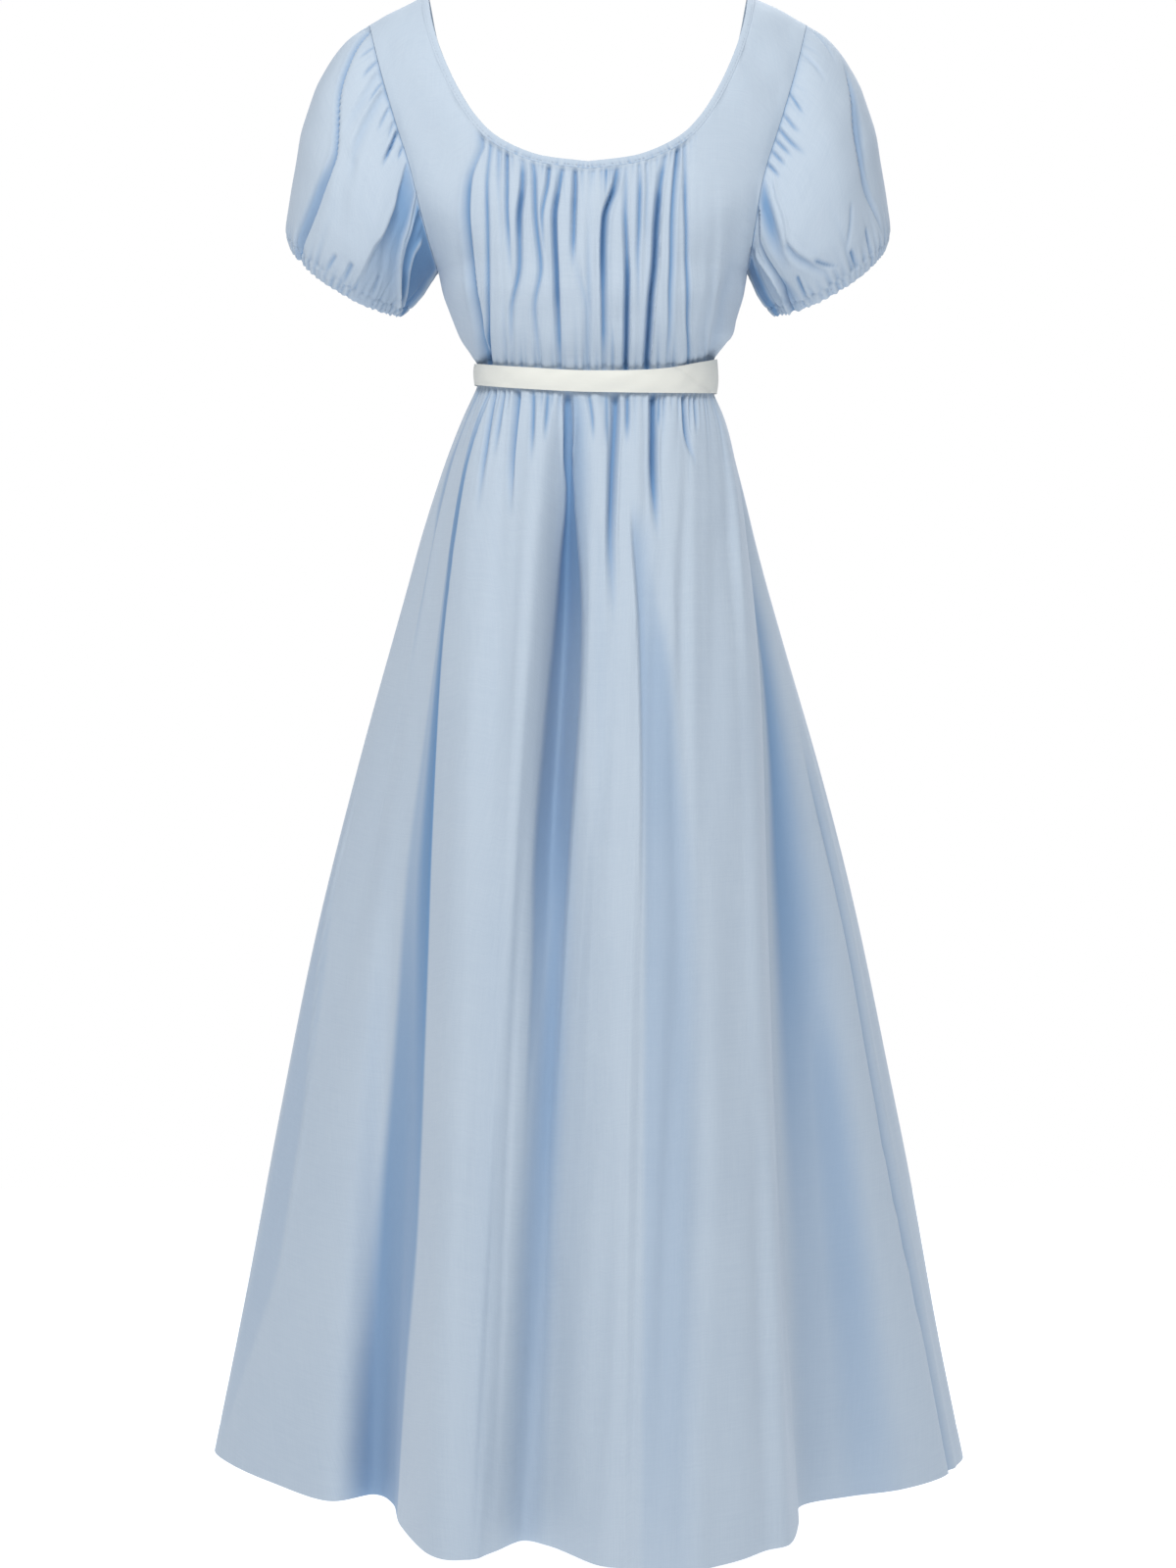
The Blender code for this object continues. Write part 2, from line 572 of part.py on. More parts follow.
def add_skirt(material):
    """Front and back skirt panels, cut apart at the side seams."""
    counts = [int(fold[5]) for fold in SKIRT_FOLDS]
    total, split = sum(counts), sum(counts[:RIGHT_SEAM_FOLD])
    place = np.broadcast_to(np.arange(total, dtype=float), (len(SKIRT_ROWS), total))
    down = np.broadcast_to(np.array(SKIRT_ROWS)[:, None], place.shape).copy()
    _, under_belt = skirt_point(place[0], down[0])
    down[1] = under_belt
    down[2] = under_belt + SKIRT_LOW_ROW
    points, _ = skirt_point(place, down)
    normals = grid_normals(points, points * [1, 1, 0], ring=True)
    normals = unit(normals * [1, 1, 0.3])
    outer = points + normals * skirt_relief(points, down)[..., None]
    along = unit(np.roll(points, -1, axis=1) - np.roll(points, 1, axis=1)) * SEAM_GAP / 2
    for name, start, stop in (("skirt_front", 0, split), ("skirt_back", split, total)):
        chosen = np.arange(start, stop + 1) % total
        face = outer[:, chosen].copy()
        face[:, 0] += along[:, chosen[0]]
        face[:, -1] -= along[:, chosen[-1]]
        wall(name, face, face - normals[:, chosen] * WALL, False, material)


def armhole_loop(hand, panels, columns):
    """Points round the armhole edge: up its front from the underarm to the shoulder, and down its back."""
    column = 0 if hand == LEFT else -1
    loop = []
    for side, count in ((FRONT, columns // 2), (BACK, columns - columns // 2)):
        line = panels[side]["outer"][UNDERARM_ROW:, column].copy()
        line[[0, -1], 1] = 0.0
        length = np.concatenate([[0], np.cumsum(np.linalg.norm(np.diff(line, axis=0), axis=1))])
        at = np.linspace(0, length[-1], count + 1)
        points = np.stack([np.interp(at, length, line[:, axis]) for axis in range(3)], axis=-1)
        loop.append(points[:-1] if side == FRONT else points[:0:-1])
    return np.concatenate(loop)


def cuff_loop(hand, turn):
    """The cuff: an ellipse that faces down and out, its front and back tipped lower."""
    outer, inner = np.array(CUFF_OUTER), np.array(CUFF_INNER)
    middle, reach = (outer + inner) / 2, (outer - inner) / 2
    down = unit(np.array([reach[1], -reach[0]])) * CUFF_DEPTH * math.sin(CUFF_TILT)
    dip = np.abs(np.sin(turn)) ** 1.3
    x = middle[0] - reach[0] * np.cos(turn) + down[0] * dip
    y = -CUFF_DEPTH * np.sin(turn)
    z = middle[1] - reach[1] * np.cos(turn) + down[1] * dip
    return np.stack([hand * x, y, z], axis=-1)


def sleeve_grid(hand, panels, columns):
    """A sleeve from the armhole to the cuff: straight lines between the two loops, puffed outwards."""
    turn = np.linspace(0, 2 * math.pi, columns, endpoint=False)
    start, end = armhole_loop(hand, panels, columns), cuff_loop(hand, turn)
    length = np.linalg.norm(end - start, axis=-1)
    casing = CASING / length
    body = np.array(SLEEVE_ROWS)[:, None] * (1 - casing)
    last = 1 - casing + np.array(CASING_ROWS)[:, None] * casing
    w = np.concatenate([body, last])
    run = unit(end - start)
    spoke = unit(start - start.mean(axis=0)) + unit(end - end.mean(axis=0))
    spoke[:, 0] = hand * np.maximum(hand * spoke[:, 0], 0.0)
    spoke = unit(spoke - run * np.sum(spoke * run, axis=-1, keepdims=True))
    upper = (1 - np.cos(turn)) / 2
    over, under = smooth_step(2 * upper - 1), smooth_step(1 - 2 * upper)
    puff = over * through(PUFF["along"], PUFF["over"], w) + under * through(PUFF["along"], PUFF["under"], w)
    puff += (1 - over - under) * through(PUFF["along"], PUFF["side"], w)
    points = start + (end - start) * w[..., None] + spoke * puff[..., None]
    points[0] += unit(points[1] - points[0]) * (SLEEVE_GAP + SLEEVE_GAP * under)[:, None]
    middle = start.mean(axis=0) * (1 - w[..., None]) + end.mean(axis=0) * w[..., None]
    return points, points - middle, upper, w, length


def add_sleeve(hand, panels, material):
    """One sleeve, gathered into the top of the armhole and drawn in by the casing at its hem."""
    columns = 2 * SLEEVE_GATHERS
    points, outward, upper, w, length = sleeve_grid(hand, panels, columns)
    normals = grid_normals(points, outward, ring=True)
    ridge = np.where(np.arange(columns) % 2 == 0, 1.0, -1.0)
    from_cap, from_cuff = w * length, (1 - w) * length
    cap = smooth_step(from_cap / 0.012) * (1 - smooth_step((from_cap - 0.012) / 0.07)) * smooth_step(upper * 2)
    cuff = smooth_step((from_cuff - CASING) / 0.006) * (1 - smooth_step((from_cuff - 0.016) / 0.05))
    band = 1 - smooth_step((from_cuff - CASING * 0.8) / 0.004)
    relief = cap * CAP_GATHER_DEPTH + cuff * CUFF_GATHER_DEPTH + band * CASING_RELIEF
    outer = points + normals * steady(ridge * relief, points)[..., None]
    wall("sleeve_left" if hand == LEFT else "sleeve_right", outer, outer - normals * WALL, True, material)


def add_belt(material):
    """The ribbon: once round the waist from the middle back, its last stretch lying over its first."""
    lap = 360 * BELT_LAP / (math.pi * (WAIST_HALF + WAIST_DEPTH))
    angle = np.linspace(180 - lap / 2, 540 + lap / 2, BELT_COLUMNS + 1)
    over = smooth_step((angle - (540 - lap)) / (lap / 2))
    stand = BELT_STAND + (BELT_WALL + SEAM_GAP) * over
    ring = waist_ring(angle)
    along = np.gradient(ring, axis=0)
    face = unit(np.stack([along[:, 1], -along[:, 0]], axis=-1))
    face *= np.where(np.sum(face * ring, axis=-1, keepdims=True) < 0, -1.0, 1.0)
    skins = []
    for out in (stand + BELT_WALL, stand):
        flat = ring + face * out[:, None]
        heights = [belt_edge(edge, angle) for edge in ("bottom", "top")]
        lines = [np.stack([flat[:, 0] + middle_x(z), flat[:, 1], z], axis=-1) for z in heights]
        skins.append(np.stack(lines))
    wall("belt", skins[0], skins[1], False, material)


def main():
    for piece in list(bpy.data.objects):
        bpy.data.objects.remove(piece, do_unlink=True)
    blue = cloth("blue_cloth", BLUE, 0.85)
    ivory = cloth("ivory_ribbon", IVORY, 0.45)
    panels = {side: add_bodice(side, blue) for side in (FRONT, BACK)}
    add_binding(panels, blue)
    add_skirt(blue)
    for hand in (LEFT, RIGHT):
        add_sleeve(hand, panels, blue)
    add_belt(ivory)


main()
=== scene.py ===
import math

import bpy
import numpy as np
from mathutils import Matrix


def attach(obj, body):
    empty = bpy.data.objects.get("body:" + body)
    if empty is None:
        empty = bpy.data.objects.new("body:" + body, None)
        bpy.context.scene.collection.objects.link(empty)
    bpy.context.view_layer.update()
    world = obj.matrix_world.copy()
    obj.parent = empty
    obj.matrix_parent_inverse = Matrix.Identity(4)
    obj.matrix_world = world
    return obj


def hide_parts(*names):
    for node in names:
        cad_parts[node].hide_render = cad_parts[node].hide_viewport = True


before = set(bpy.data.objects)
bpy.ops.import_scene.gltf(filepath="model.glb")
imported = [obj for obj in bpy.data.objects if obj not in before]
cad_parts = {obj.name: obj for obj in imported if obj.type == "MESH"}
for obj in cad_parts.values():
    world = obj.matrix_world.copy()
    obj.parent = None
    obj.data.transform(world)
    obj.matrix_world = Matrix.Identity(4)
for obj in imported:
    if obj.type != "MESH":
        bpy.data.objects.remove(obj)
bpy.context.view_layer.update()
print("frame loaded")

front, back = -1, 1
left, right = -1, 1
mm = 0.001


# s*s*(3 - 2*s), held at 0 and 1
def smoothStep(share):
    share = np.clip(share, 0.0, 1.0)
    return share * share * (3 - 2 * share)


# v / |v|
def unit(vectors):
    return vectors / np.maximum(np.linalg.norm(vectors, axis=-1, keepdims=True), 1e-12)


# sign(a) * |a|**n
def signedPower(value, exponent):
    return np.sign(value) * np.abs(value) ** exponent


# a cubic between each two rows of a table, with the values and the slopes given at its rows
def cubics(places, values, slopes, at):
    cell = np.clip(np.searchsorted(places, at, side="right") - 1, 0, len(places) - 2)
    start, end, gap = values[cell], values[cell + 1], places[cell + 1] - places[cell]
    share = (at - places[cell]) / gap
    leaving, arriving = share * (1 - share) ** 2, share * share * (share - 1)
    ease = share * share * (3 - 2 * share)
    return start + (end - start) * ease + leaving * gap * slopes[cell] + arriving * gap * slopes[cell + 1]


# cubic through the rows of a table, never past them: slopes are harmonic means of the rises beside each row
def through(stations, values, at):
    stations, values = np.asarray(stations, float), np.asarray(values, float)
    gaps = np.diff(stations)
    rises = np.diff(values) / gaps
    oneWay = rises[:-1] * rises[1:] > 0
    before, after = np.where(oneWay, rises[:-1], 1.0), np.where(oneWay, rises[1:], 1.0)
    near, far = 2 * gaps[1:] + gaps[:-1], gaps[1:] + 2 * gaps[:-1]
    inner = np.where(oneWay, (near + far) / (near / before + far / after), 0.0)
    slopes = np.concatenate([rises[:1], inner, rises[-1:]])
    return cubics(stations, values, slopes, np.clip(at, stations[0], stations[-1]))


# cubic through rows that come round again after one period: slopes are means of the rises beside each row
def roundRing(stations, values, period, at):
    stations, values = np.asarray(stations, float), np.asarray(values, float)
    places, values = np.append(stations, stations[0] + period), np.append(values, values[0])
    gaps = np.diff(places)
    rises = np.diff(values) / gaps
    before, gapBefore = np.roll(rises, 1), np.roll(gaps, 1)
    slopes = (rises * gapBefore + before * gaps) / (gaps + gapBefore)
    at = (np.asarray(at, float) - stations[0]) % period + stations[0]
    return cubics(places, values, np.append(slopes, slopes[0]), at)


# depth of a crease across its line: exp(1 - sqrt(1 + (d/width)**2)), part narrow and part three times as wide
def crease(distance, width, narrow):
    near, wide = distance / width, distance / (3 * width)
    return narrow * np.exp(1 - np.sqrt(1 + near * near)) + (1 - narrow) * np.exp(1 - np.sqrt(1 + wide * wide))


# a fold across its line, a valley between low lips: far = distance / half width, which is smaller on the side
# that lean names; its second value is the mask of the painted shade at the fold's bottom
def foldAcross(distance, width, lean):
    far = np.abs(distance) / (width * (1 - lean * np.sign(distance)))
    valley = crease(far, 1.0, 0.7) - 0.25 * np.exp(-((far - 2.5) ** 2))
    return valley, np.exp(1 - np.sqrt(1 + (far / 0.8) ** 2))


# painted shade of a fold's bottom: steep / 1.8 - 0.25 held to 0..1, and more where it is steeper than 3.8
def paintedFoldShade(steep):
    return np.clip(steep / 1.8 - 0.25, 0, 1) + np.clip(steep - 3.8, 0, 0.8)


# folds along given lines added to relief and shade; each fades in where it starts and out where it
# stops, but not where it starts at 0 or stops past 1
def addFolds(rows, across, down, scale, relief, shade):
    for *line, start, stop, depth, width, lean in rows:
        centre = through(np.linspace(start, stop, len(line)), line, down)
        share = (down - start) / (stop - start)
        fade = smoothStep(share / 0.12) if start > 0 else 1.0
        fade = fade * (1 - smoothStep(share * 1.7 - 0.7)) if stop <= 1 else fade * (share < 2)
        valley, coreShade = foldAcross((across - centre) * scale, width * mm, lean)
        relief = relief - depth * mm * fade * valley
        # painted shade darkens a fold's bottom; a raised fold lightens the painted shade along its top
        if depth > 0:
            shade = np.maximum(shade, paintedFoldShade(depth / width) * fade * coreShade)
        else:
            shade = shade * (1 - 0.85 * fade * coreShade)
    return relief, shade


# hollows between two edges: depth * smoothStep(t / soft) * smoothStep((1 - t) / soft), where t goes from one
# edge to the other; their painted shade is how dark times the same profile
def hollows(rows, across, down):
    relief, shade = np.zeros_like(across), np.zeros_like(across)
    for nearSoft, farSoft, table in rows:
        at, low, high, depth, dark = np.array(table).T
        t = (across - through(at, low, down)) / (through(at, high, down) - through(at, low, down))
        profile = smoothStep(t / nearSoft) * smoothStep((1 - t) / farSoft)
        relief = relief - through(at, depth * mm, down) * profile
        shade = np.maximum(shade, through(at, dark, down) * profile)
    return relief, shade


# a row of small gathers: the nearest valley's crease less its value half way between two valleys, times the
# valley's strength; and how far each valley reaches
def gathers(at, spacing, width, seed):
    count = int((at.max() - at.min()) / spacing) + 3
    rng = np.random.default_rng(seed)
    centres = at.min() + (np.arange(count) - 0.5 + rng.uniform(-0.3, 0.3, count)) * spacing
    strength, reach = rng.uniform(0.35, 1.0, count), rng.uniform(0.4, 1.5, count)
    nearest = np.searchsorted((centres[1:] + centres[:-1]) / 2, at)
    depth = crease(at - centres[nearest], width, 0.8) - crease(spacing / 2, width, 0.8)
    return np.maximum(depth, 0) * strength[nearest], reach[nearest]


# such a row added to relief and painted shade, fading from its edge by exp(-distance / reach)
def addGathers(row, at, fromEdge, where, seed, relief, shade):
    spacing, width, depth, reach, dark = row
    small, ownReach = gathers(at, spacing, width, seed)
    small = small * where * np.exp(-fromEdge / (reach * ownReach))
    return relief - depth * small, np.maximum(shade, dark * small)


# soft uneven waves, a sum of sines of both coordinates with seeded wavelengths and phases, times a height
def unevenWaves(row, u, v, seed):
    height, wavelengthU, wavelengthV = row
    count = 9
    rng = np.random.default_rng(seed)
    total = np.zeros(np.broadcast(u, v).shape)
    for _ in range(count):
        fu = 2 * math.pi / (wavelengthU * rng.uniform(0.6, 1.8)) * rng.choice([-1, 1])
        fv = 2 * math.pi / (wavelengthV * rng.uniform(0.6, 1.8))
        total += np.sin(fu * u + fv * v + rng.uniform(0, 2 * math.pi))
    return height * total / math.sqrt(count * 2)


# unit normals of a grid, the cross product of its two directions, all turned to the side that outward names
def gridNormals(points, outward, ring=False):
    across = np.roll(points, -1, axis=1) - np.roll(points, 1, axis=1) if ring else np.gradient(points, axis=1)
    normals = unit(np.cross(np.gradient(points, axis=0), across))
    return normals * np.sign(np.sum(normals * outward))


# length along a line at each of its points: the sum of the steps so far, with the step home when it is closed
def runLength(line, closed=False):
    if closed:
        line = np.concatenate([line, line[:1]])
    return np.concatenate([[0], np.cumsum(np.linalg.norm(np.diff(line, axis=0), axis=-1))])


# points at given lengths along a line, straight between its own points
def alongLine(at, length, line):
    if len(length) > len(line):
        line = np.concatenate([line, line[:1]])
    return np.stack([np.interp(at, length, line[:, axis]) for axis in range(3)], -1)


# place on the flat cloth, in metres: length along each row from its middle column, and along each column
def flatPlan(points, ring=False):
    if ring:
        points = np.concatenate([points, points[:, :1]], axis=1)
    across = np.linalg.norm(np.diff(points, axis=1), axis=-1)
    across = np.concatenate([np.zeros((len(points), 1)), np.cumsum(across, axis=1)], axis=1)
    down = np.linalg.norm(np.diff(points, axis=0), axis=-1)
    down = np.concatenate([np.zeros((1, points.shape[1])), np.cumsum(down, axis=0)])
    return np.stack([across - across[:, points.shape[1] // 2, None], down], axis=-1)


# rows and columns of the four corners of every square in a grid
def gridSquares(rows, columns):
    row, column = np.meshgrid(np.arange(rows), np.arange(columns), indexing="ij")
    corners = [row, row, row + 1, row + 1], [column, column + 1, column + 1, column]
    return [np.stack(part, -1).reshape(-1, 4) for part in corners]


# the way each face of four looks: the cross product of its diagonals
def facing(points, faces):
    span = points.reshape(-1, 3)[faces]
    return np.cross(span[:, 2] - span[:, 0], span[:, 3] - span[:, 1])


# an object at the origin from points, faces of four, the cloth place of each corner and the painted shade of
# each point; edges sharper than 80 degrees aren't smoothed
def meshObject(name, points, faces, plan, paintedShade, material):
    mesh = bpy.data.meshes.new(name)
    mesh.vertices.add(len(points))
    mesh.vertices.foreach_set("co", np.asarray(points, np.float32).ravel())
    mesh.loops.add(faces.size)
    mesh.loops.foreach_set("vertex_index", faces.astype(np.int32).ravel())
    mesh.polygons.add(len(faces))
    mesh.polygons.foreach_set("loop_start", np.arange(0, faces.size, 4, dtype=np.int32))
    mesh.polygons.foreach_set("use_smooth", np.ones(len(faces), bool))
    mesh.update(calc_edges=True)
    layer = mesh.uv_layers.new(name="cloth")
    layer.data.foreach_set("uv", np.asarray(plan, np.float32).ravel())
    value = mesh.attributes.new("paintedShade", "FLOAT", "POINT")
    value.data.foreach_set("value", np.asarray(paintedShade, np.float32).ravel())
    mesh.validate()
    mesh.set_sharp_from_angle(angle=math.radians(80))
    mesh.materials.append(material)
    piece = bpy.data.objects.new(name, mesh)
    bpy.context.scene.collection.objects.link(piece)
    return piece


# a closed wall between two grids: both skins, and a strip along every free edge
def clothShell(name, outer, inner, normals, paintedShade, material, ring=False):
    rows, columns = outer.shape[:2]
    count, steps = rows * columns, columns if ring else columns - 1
    plan = flatPlan(outer, ring)
    row, column = gridSquares(rows - 1, steps)
    index = row * columns + column % columns
    skins, flats = [index, index[:, ::-1] + count], [plan[row, column], plan[row, column][:, ::-1]]
    across, along = np.arange(steps), np.arange(rows - 1)
    # the row and column where each step of an edge starts, and where it stops
    edges = [(0, across + 1, 0, across), (rows - 1, across, rows - 1, across + 1)]
    if not ring:
        edges += [(along, 0, along + 1, 0), (along + 1, columns - 1, along, columns - 1)]
    for rowA, columnA, rowB, columnB in edges:
        a, b = rowA * columns + columnA % columns, rowB * columns + columnB % columns
        flatA, flatB = plan[rowA, columnA], plan[rowB, columnB]
        skins.append(np.stack([a, b, b + count, a + count], -1))
        flats.append(np.stack([flatA, flatB, flatB, flatA], 1))
    faces, flat = np.concatenate(skins), np.concatenate(flats)
    if np.sum(facing(outer, index) * normals.reshape(-1, 3)[index[:, 0]]) < 0:
        faces, flat = faces[:, ::-1], flat[:, ::-1]
    points = np.concatenate([outer.reshape(-1, 3), inner.reshape(-1, 3)])
    return meshObject(name, points, faces, flat, np.concatenate([paintedShade.ravel()] * 2), material)


# a closed tube: section point k at path point i is path + side*x(k) + up*y(k), both ends joined
def closedTube(name, path, side, up, section, paintedShade, material):
    points = path[:, None] + side[:, None] * section[..., 0, None] + up[:, None] * section[..., 1, None]
    rows, columns = points.shape[:2]
    row, column = gridSquares(rows, columns)
    faces = row % rows * columns + column % columns
    flat = np.stack([runLength(path, True)[row], runLength(section[0], True)[column]], -1)
    away = points - points.mean(axis=1, keepdims=True)
    if np.sum(facing(points, faces) * away.reshape(-1, 3)[faces[:, 0]]) < 0:
        faces, flat = faces[:, ::-1], flat[:, ::-1]
    return meshObject(name, points.reshape(-1, 3), faces, flat, paintedShade.ravel(), material)


# a value in a node tree: its operators add Math nodes
class Value:
    def __init__(self, nodes, socket):
        self.nodes, self.socket = nodes, socket

    def math(self, operation, other=0.0, swapped=False):
        first, second = (other, self) if swapped else (self, other)
        return self.nodes.node("ShaderNodeMath", {"operation": operation}, {0: first, 1: second})

    def __add__(self, other): return self.math("ADD", other)
    def __radd__(self, other): return self.math("ADD", other)
    def __sub__(self, other): return self.math("SUBTRACT", other)
    def __rsub__(self, other): return self.math("SUBTRACT", other, True)
    def __mul__(self, other): return self.math("MULTIPLY", other)
    def __rmul__(self, other): return self.math("MULTIPLY", other)
    def __truediv__(self, other): return self.math("DIVIDE", other)
    def __rtruediv__(self, other): return self.math("DIVIDE", other, True)
    def __pow__(self, other): return self.math("POWER", other)
    def __rpow__(self, other): return self.math("POWER", other, True)
    def sine(self): return self.math("SINE")
    def size(self): return self.math("ABSOLUTE")
    def held(self): return self.nodes.node("ShaderNodeClamp", {}, {"Value": self})


# a node tree, and the one way its nodes are added
class Nodes:
    def __init__(self, owner):
        owner.use_nodes = True
        self.tree = owner.node_tree

    def feed(self, socket, value):
        if isinstance(value, Value):
            self.tree.links.new(value.socket, socket)
        else:
            socket.default_value = value

    def node(self, kind, settings, inputs, output=0):
        made = self.tree.nodes.new(kind)
        for name, value in settings.items():
            setattr(made, name, value)
        for name, value in inputs.items():
            self.feed(made.inputs[name], value)
        return Value(self, made.outputs[output])


# a material, with short names for the nodes that these finishes use
class Finish(Nodes):
    def __init__(self, name):
        self.material = bpy.data.materials.new(name)
        super().__init__(self.material)
        self.shader = self.tree.nodes["Principled BSDF"]

    def put(self, name, value):
        self.feed(self.shader.inputs[name], value)

    def flatPlace(self):
        return self.node("ShaderNodeUVMap", {"uv_map": "cloth"}, {})

    def solidPlace(self):
        return self.node("ShaderNodeTexCoord", {}, {}, 3)

    def part(self, vector, axis):
        return self.node("ShaderNodeSeparateXYZ", {}, {0: vector}, axis)

    def mixed(self, share, first, second):
        return self.node("ShaderNodeMix", {"data_type": "RGBA"}, {0: share, 6: first, 7: second}, 2)

    def noise(self, vector, scale, detail, roughness=0.5):
        inputs = {"Vector": vector, "Scale": scale, "Detail": detail, "Roughness": roughness}
        return self.node("ShaderNodeTexNoise", {}, inputs)

    def streaks(self, vector, amounts):
        scaled = self.node("ShaderNodeMapping", {}, {"Vector": vector, "Scale": amounts})
        return self.noise(scaled, 1.0, 2.0)

    def bump(self, height, distance, strength, normal=None):
        inputs = {"Height": height, "Distance": distance, "Strength": strength}
        if normal:
            inputs["Normal"] = normal
        return self.node("ShaderNodeBump", {}, inputs)


clothLook = {
    "pale": (0.545, 0.620, 0.694, 1),     # painted light on the yarns' tops, and the paler of their random tone
    "deep": (0.478, 0.558, 0.646, 1),     # painted shade on the yarns between them, and the darker of their random tone
    "fold": (0.180, 0.318, 0.515, 1),     # painted shade in the bottoms of folds
    "coreShade": (0.060, 0.150, 0.310, 1),     # painted shade in the deepest of them
    "thread": 0.00062,                    # from one yarn to the next
    "slub": 1.8, "weave": 0.25, "cloud": 0.7,     # how strongly thick yarns, the weave's painted shade and clouds show
    "warpSlubs": (900, 26, 1), "weftSlubs": (22, 800, 1),
    "clouds": 9.0, "creases": 38.0,       # to a metre
    "roughness": (0.74, 0.9), "specular": 0.25,
    "sheen": 0.22, "sheenRoughness": 0.45, "sheenTint": (0.93, 0.96, 1.0, 1),
    "weaveRelief": 0.0001,
    "crumple": 0.0026,
}


# plain weave: yarn heights are sine waves across u and v, over and under by turns; slubs are noise drawn out
# along each yarn
def makeCloth(look):
    finish = Finish("blueCloth")
    place = finish.flatPlace()
    across, down = finish.part(place, 0), finish.part(place, 1)
    turn = math.pi / look["thread"]
    warp, weft = (across * turn).sine(), (down * turn).sine()
    over = (warp * weft) * 0.5 + 0.5
    warpSlub, weftSlub = finish.streaks(place, look["warpSlubs"]), finish.streaks(place, look["weftSlubs"])
    slub = warpSlub * 0.5 + weftSlub * 0.5
    solid = finish.solidPlace()
    cloudy = finish.noise(solid, look["clouds"], 3.0)
    soft = finish.noise(solid, look["creases"], 3.0, 0.55)
    # slubs and clouds are the cloth's random tone; the weave term is painted light and shade over and under
    shade = (slub - 0.5) * look["slub"] + (over - 0.5) * look["weave"] + (cloudy - 0.5) * look["cloud"] + 0.5
    colour = finish.mixed(shade.held(), look["deep"], look["pale"])
    # painted shade in folds: the colour turns to the fold colour, and past 1 to the deepest shade colour
    paintedShade = finish.node("ShaderNodeAttribute", {"attribute_name": "paintedShade"}, {}, 2)
    colour = finish.mixed(paintedShade.held(), colour, look["fold"])
    colour = finish.mixed((paintedShade - 1.0).held(), colour, look["coreShade"])
    finish.put("Base Color", colour)
    low, high = look["roughness"]
    finish.put("Roughness", slub * (high - low) + low)
    finish.put("Sheen Weight", look["sheen"])
    finish.put("Sheen Roughness", look["sheenRoughness"])
    finish.put("Sheen Tint", look["sheenTint"])
    finish.put("Specular IOR Level", look["specular"])
    crumpled = finish.bump(cloudy * 0.4 + soft * 0.6, look["crumple"], 0.55)
    finish.put("Normal", finish.bump(over * 0.5 + slub, look["weaveRelief"], 0.6, crumpled))
    return finish.material


ribbonLook = {
    "pale": (0.825, 0.815, 0.740, 1),
    "deep": (0.755, 0.745, 0.675, 1),
    "rib": 0.0006,                        # from one cross rib to the next
    "streaks": (30, 2600, 1), "clouds": (55, 90, 1),
    "roughness": (0.40, 0.56), "specular": 0.4,
    "sheen": 0.12,
    "ribRelief": 0.00006, "softRelief": 0.0006,
}


# fine cross ribs, |sin| along the ribbon, and long streaks of the lengthwise yarns
def makeRibbon(look):
    finish = Finish("ivoryRibbon")
    place = finish.flatPlace()
    along = finish.part(place, 0)
    rib = (along * (math.pi / look["rib"])).sine().size()
    streak, cloudy = finish.streaks(place, look["streaks"]), finish.streaks(place, look["clouds"])
    # streaks and clouds are the ribbon's own tone; the ribs' tops are painted a little lighter
    colour = finish.mixed((streak * 0.6 + cloudy * 0.5 + rib * 0.1).held(), look["deep"], look["pale"])
    finish.put("Base Color", colour)
    low, high = look["roughness"]
    finish.put("Roughness", streak * (high - low) + low)
    finish.put("Sheen Weight", look["sheen"])
    finish.put("Specular IOR Level", look["specular"])
    soft = finish.bump(cloudy, look["softRelief"], 0.5)
    finish.put("Normal", finish.bump(rib + streak * 0.6, look["ribRelief"], 0.5, soft))
    return finish.material


threadLook = {
    "pale": (0.53, 0.585, 0.655, 1),
    "deep": (0.40, 0.46, 0.54, 1),
    "twist": (9000.0, 5000.0),            # of the plies, along and around
    "roughness": (0.5, 0.65),
    "plyRelief": 0.00005,
}


# sewing thread: two plies show as slanting bands of painted light and shade, sin(along + around)
def makeThread(look):
    finish = Finish("paleThread")
    place = finish.flatPlace()
    alongTwist, aroundTwist = look["twist"]
    along, around = finish.part(place, 0), finish.part(place, 1)
    ply = (along * alongTwist + around * aroundTwist).sine() * 0.5 + 0.5
    finish.put("Base Color", finish.mixed(ply, look["deep"], look["pale"]))
    low, high = look["roughness"]
    finish.put("Roughness", ply * (high - low) + low)
    finish.put("Normal", finish.bump(ply, look["plyRelief"], 0.6))
    return finish.material


blueCloth, ivoryRibbon, paleThread = makeCloth(clothLook), makeRibbon(ribbonLook), makeThread(threadLook)
print("cloth, ribbon and thread finishes made")

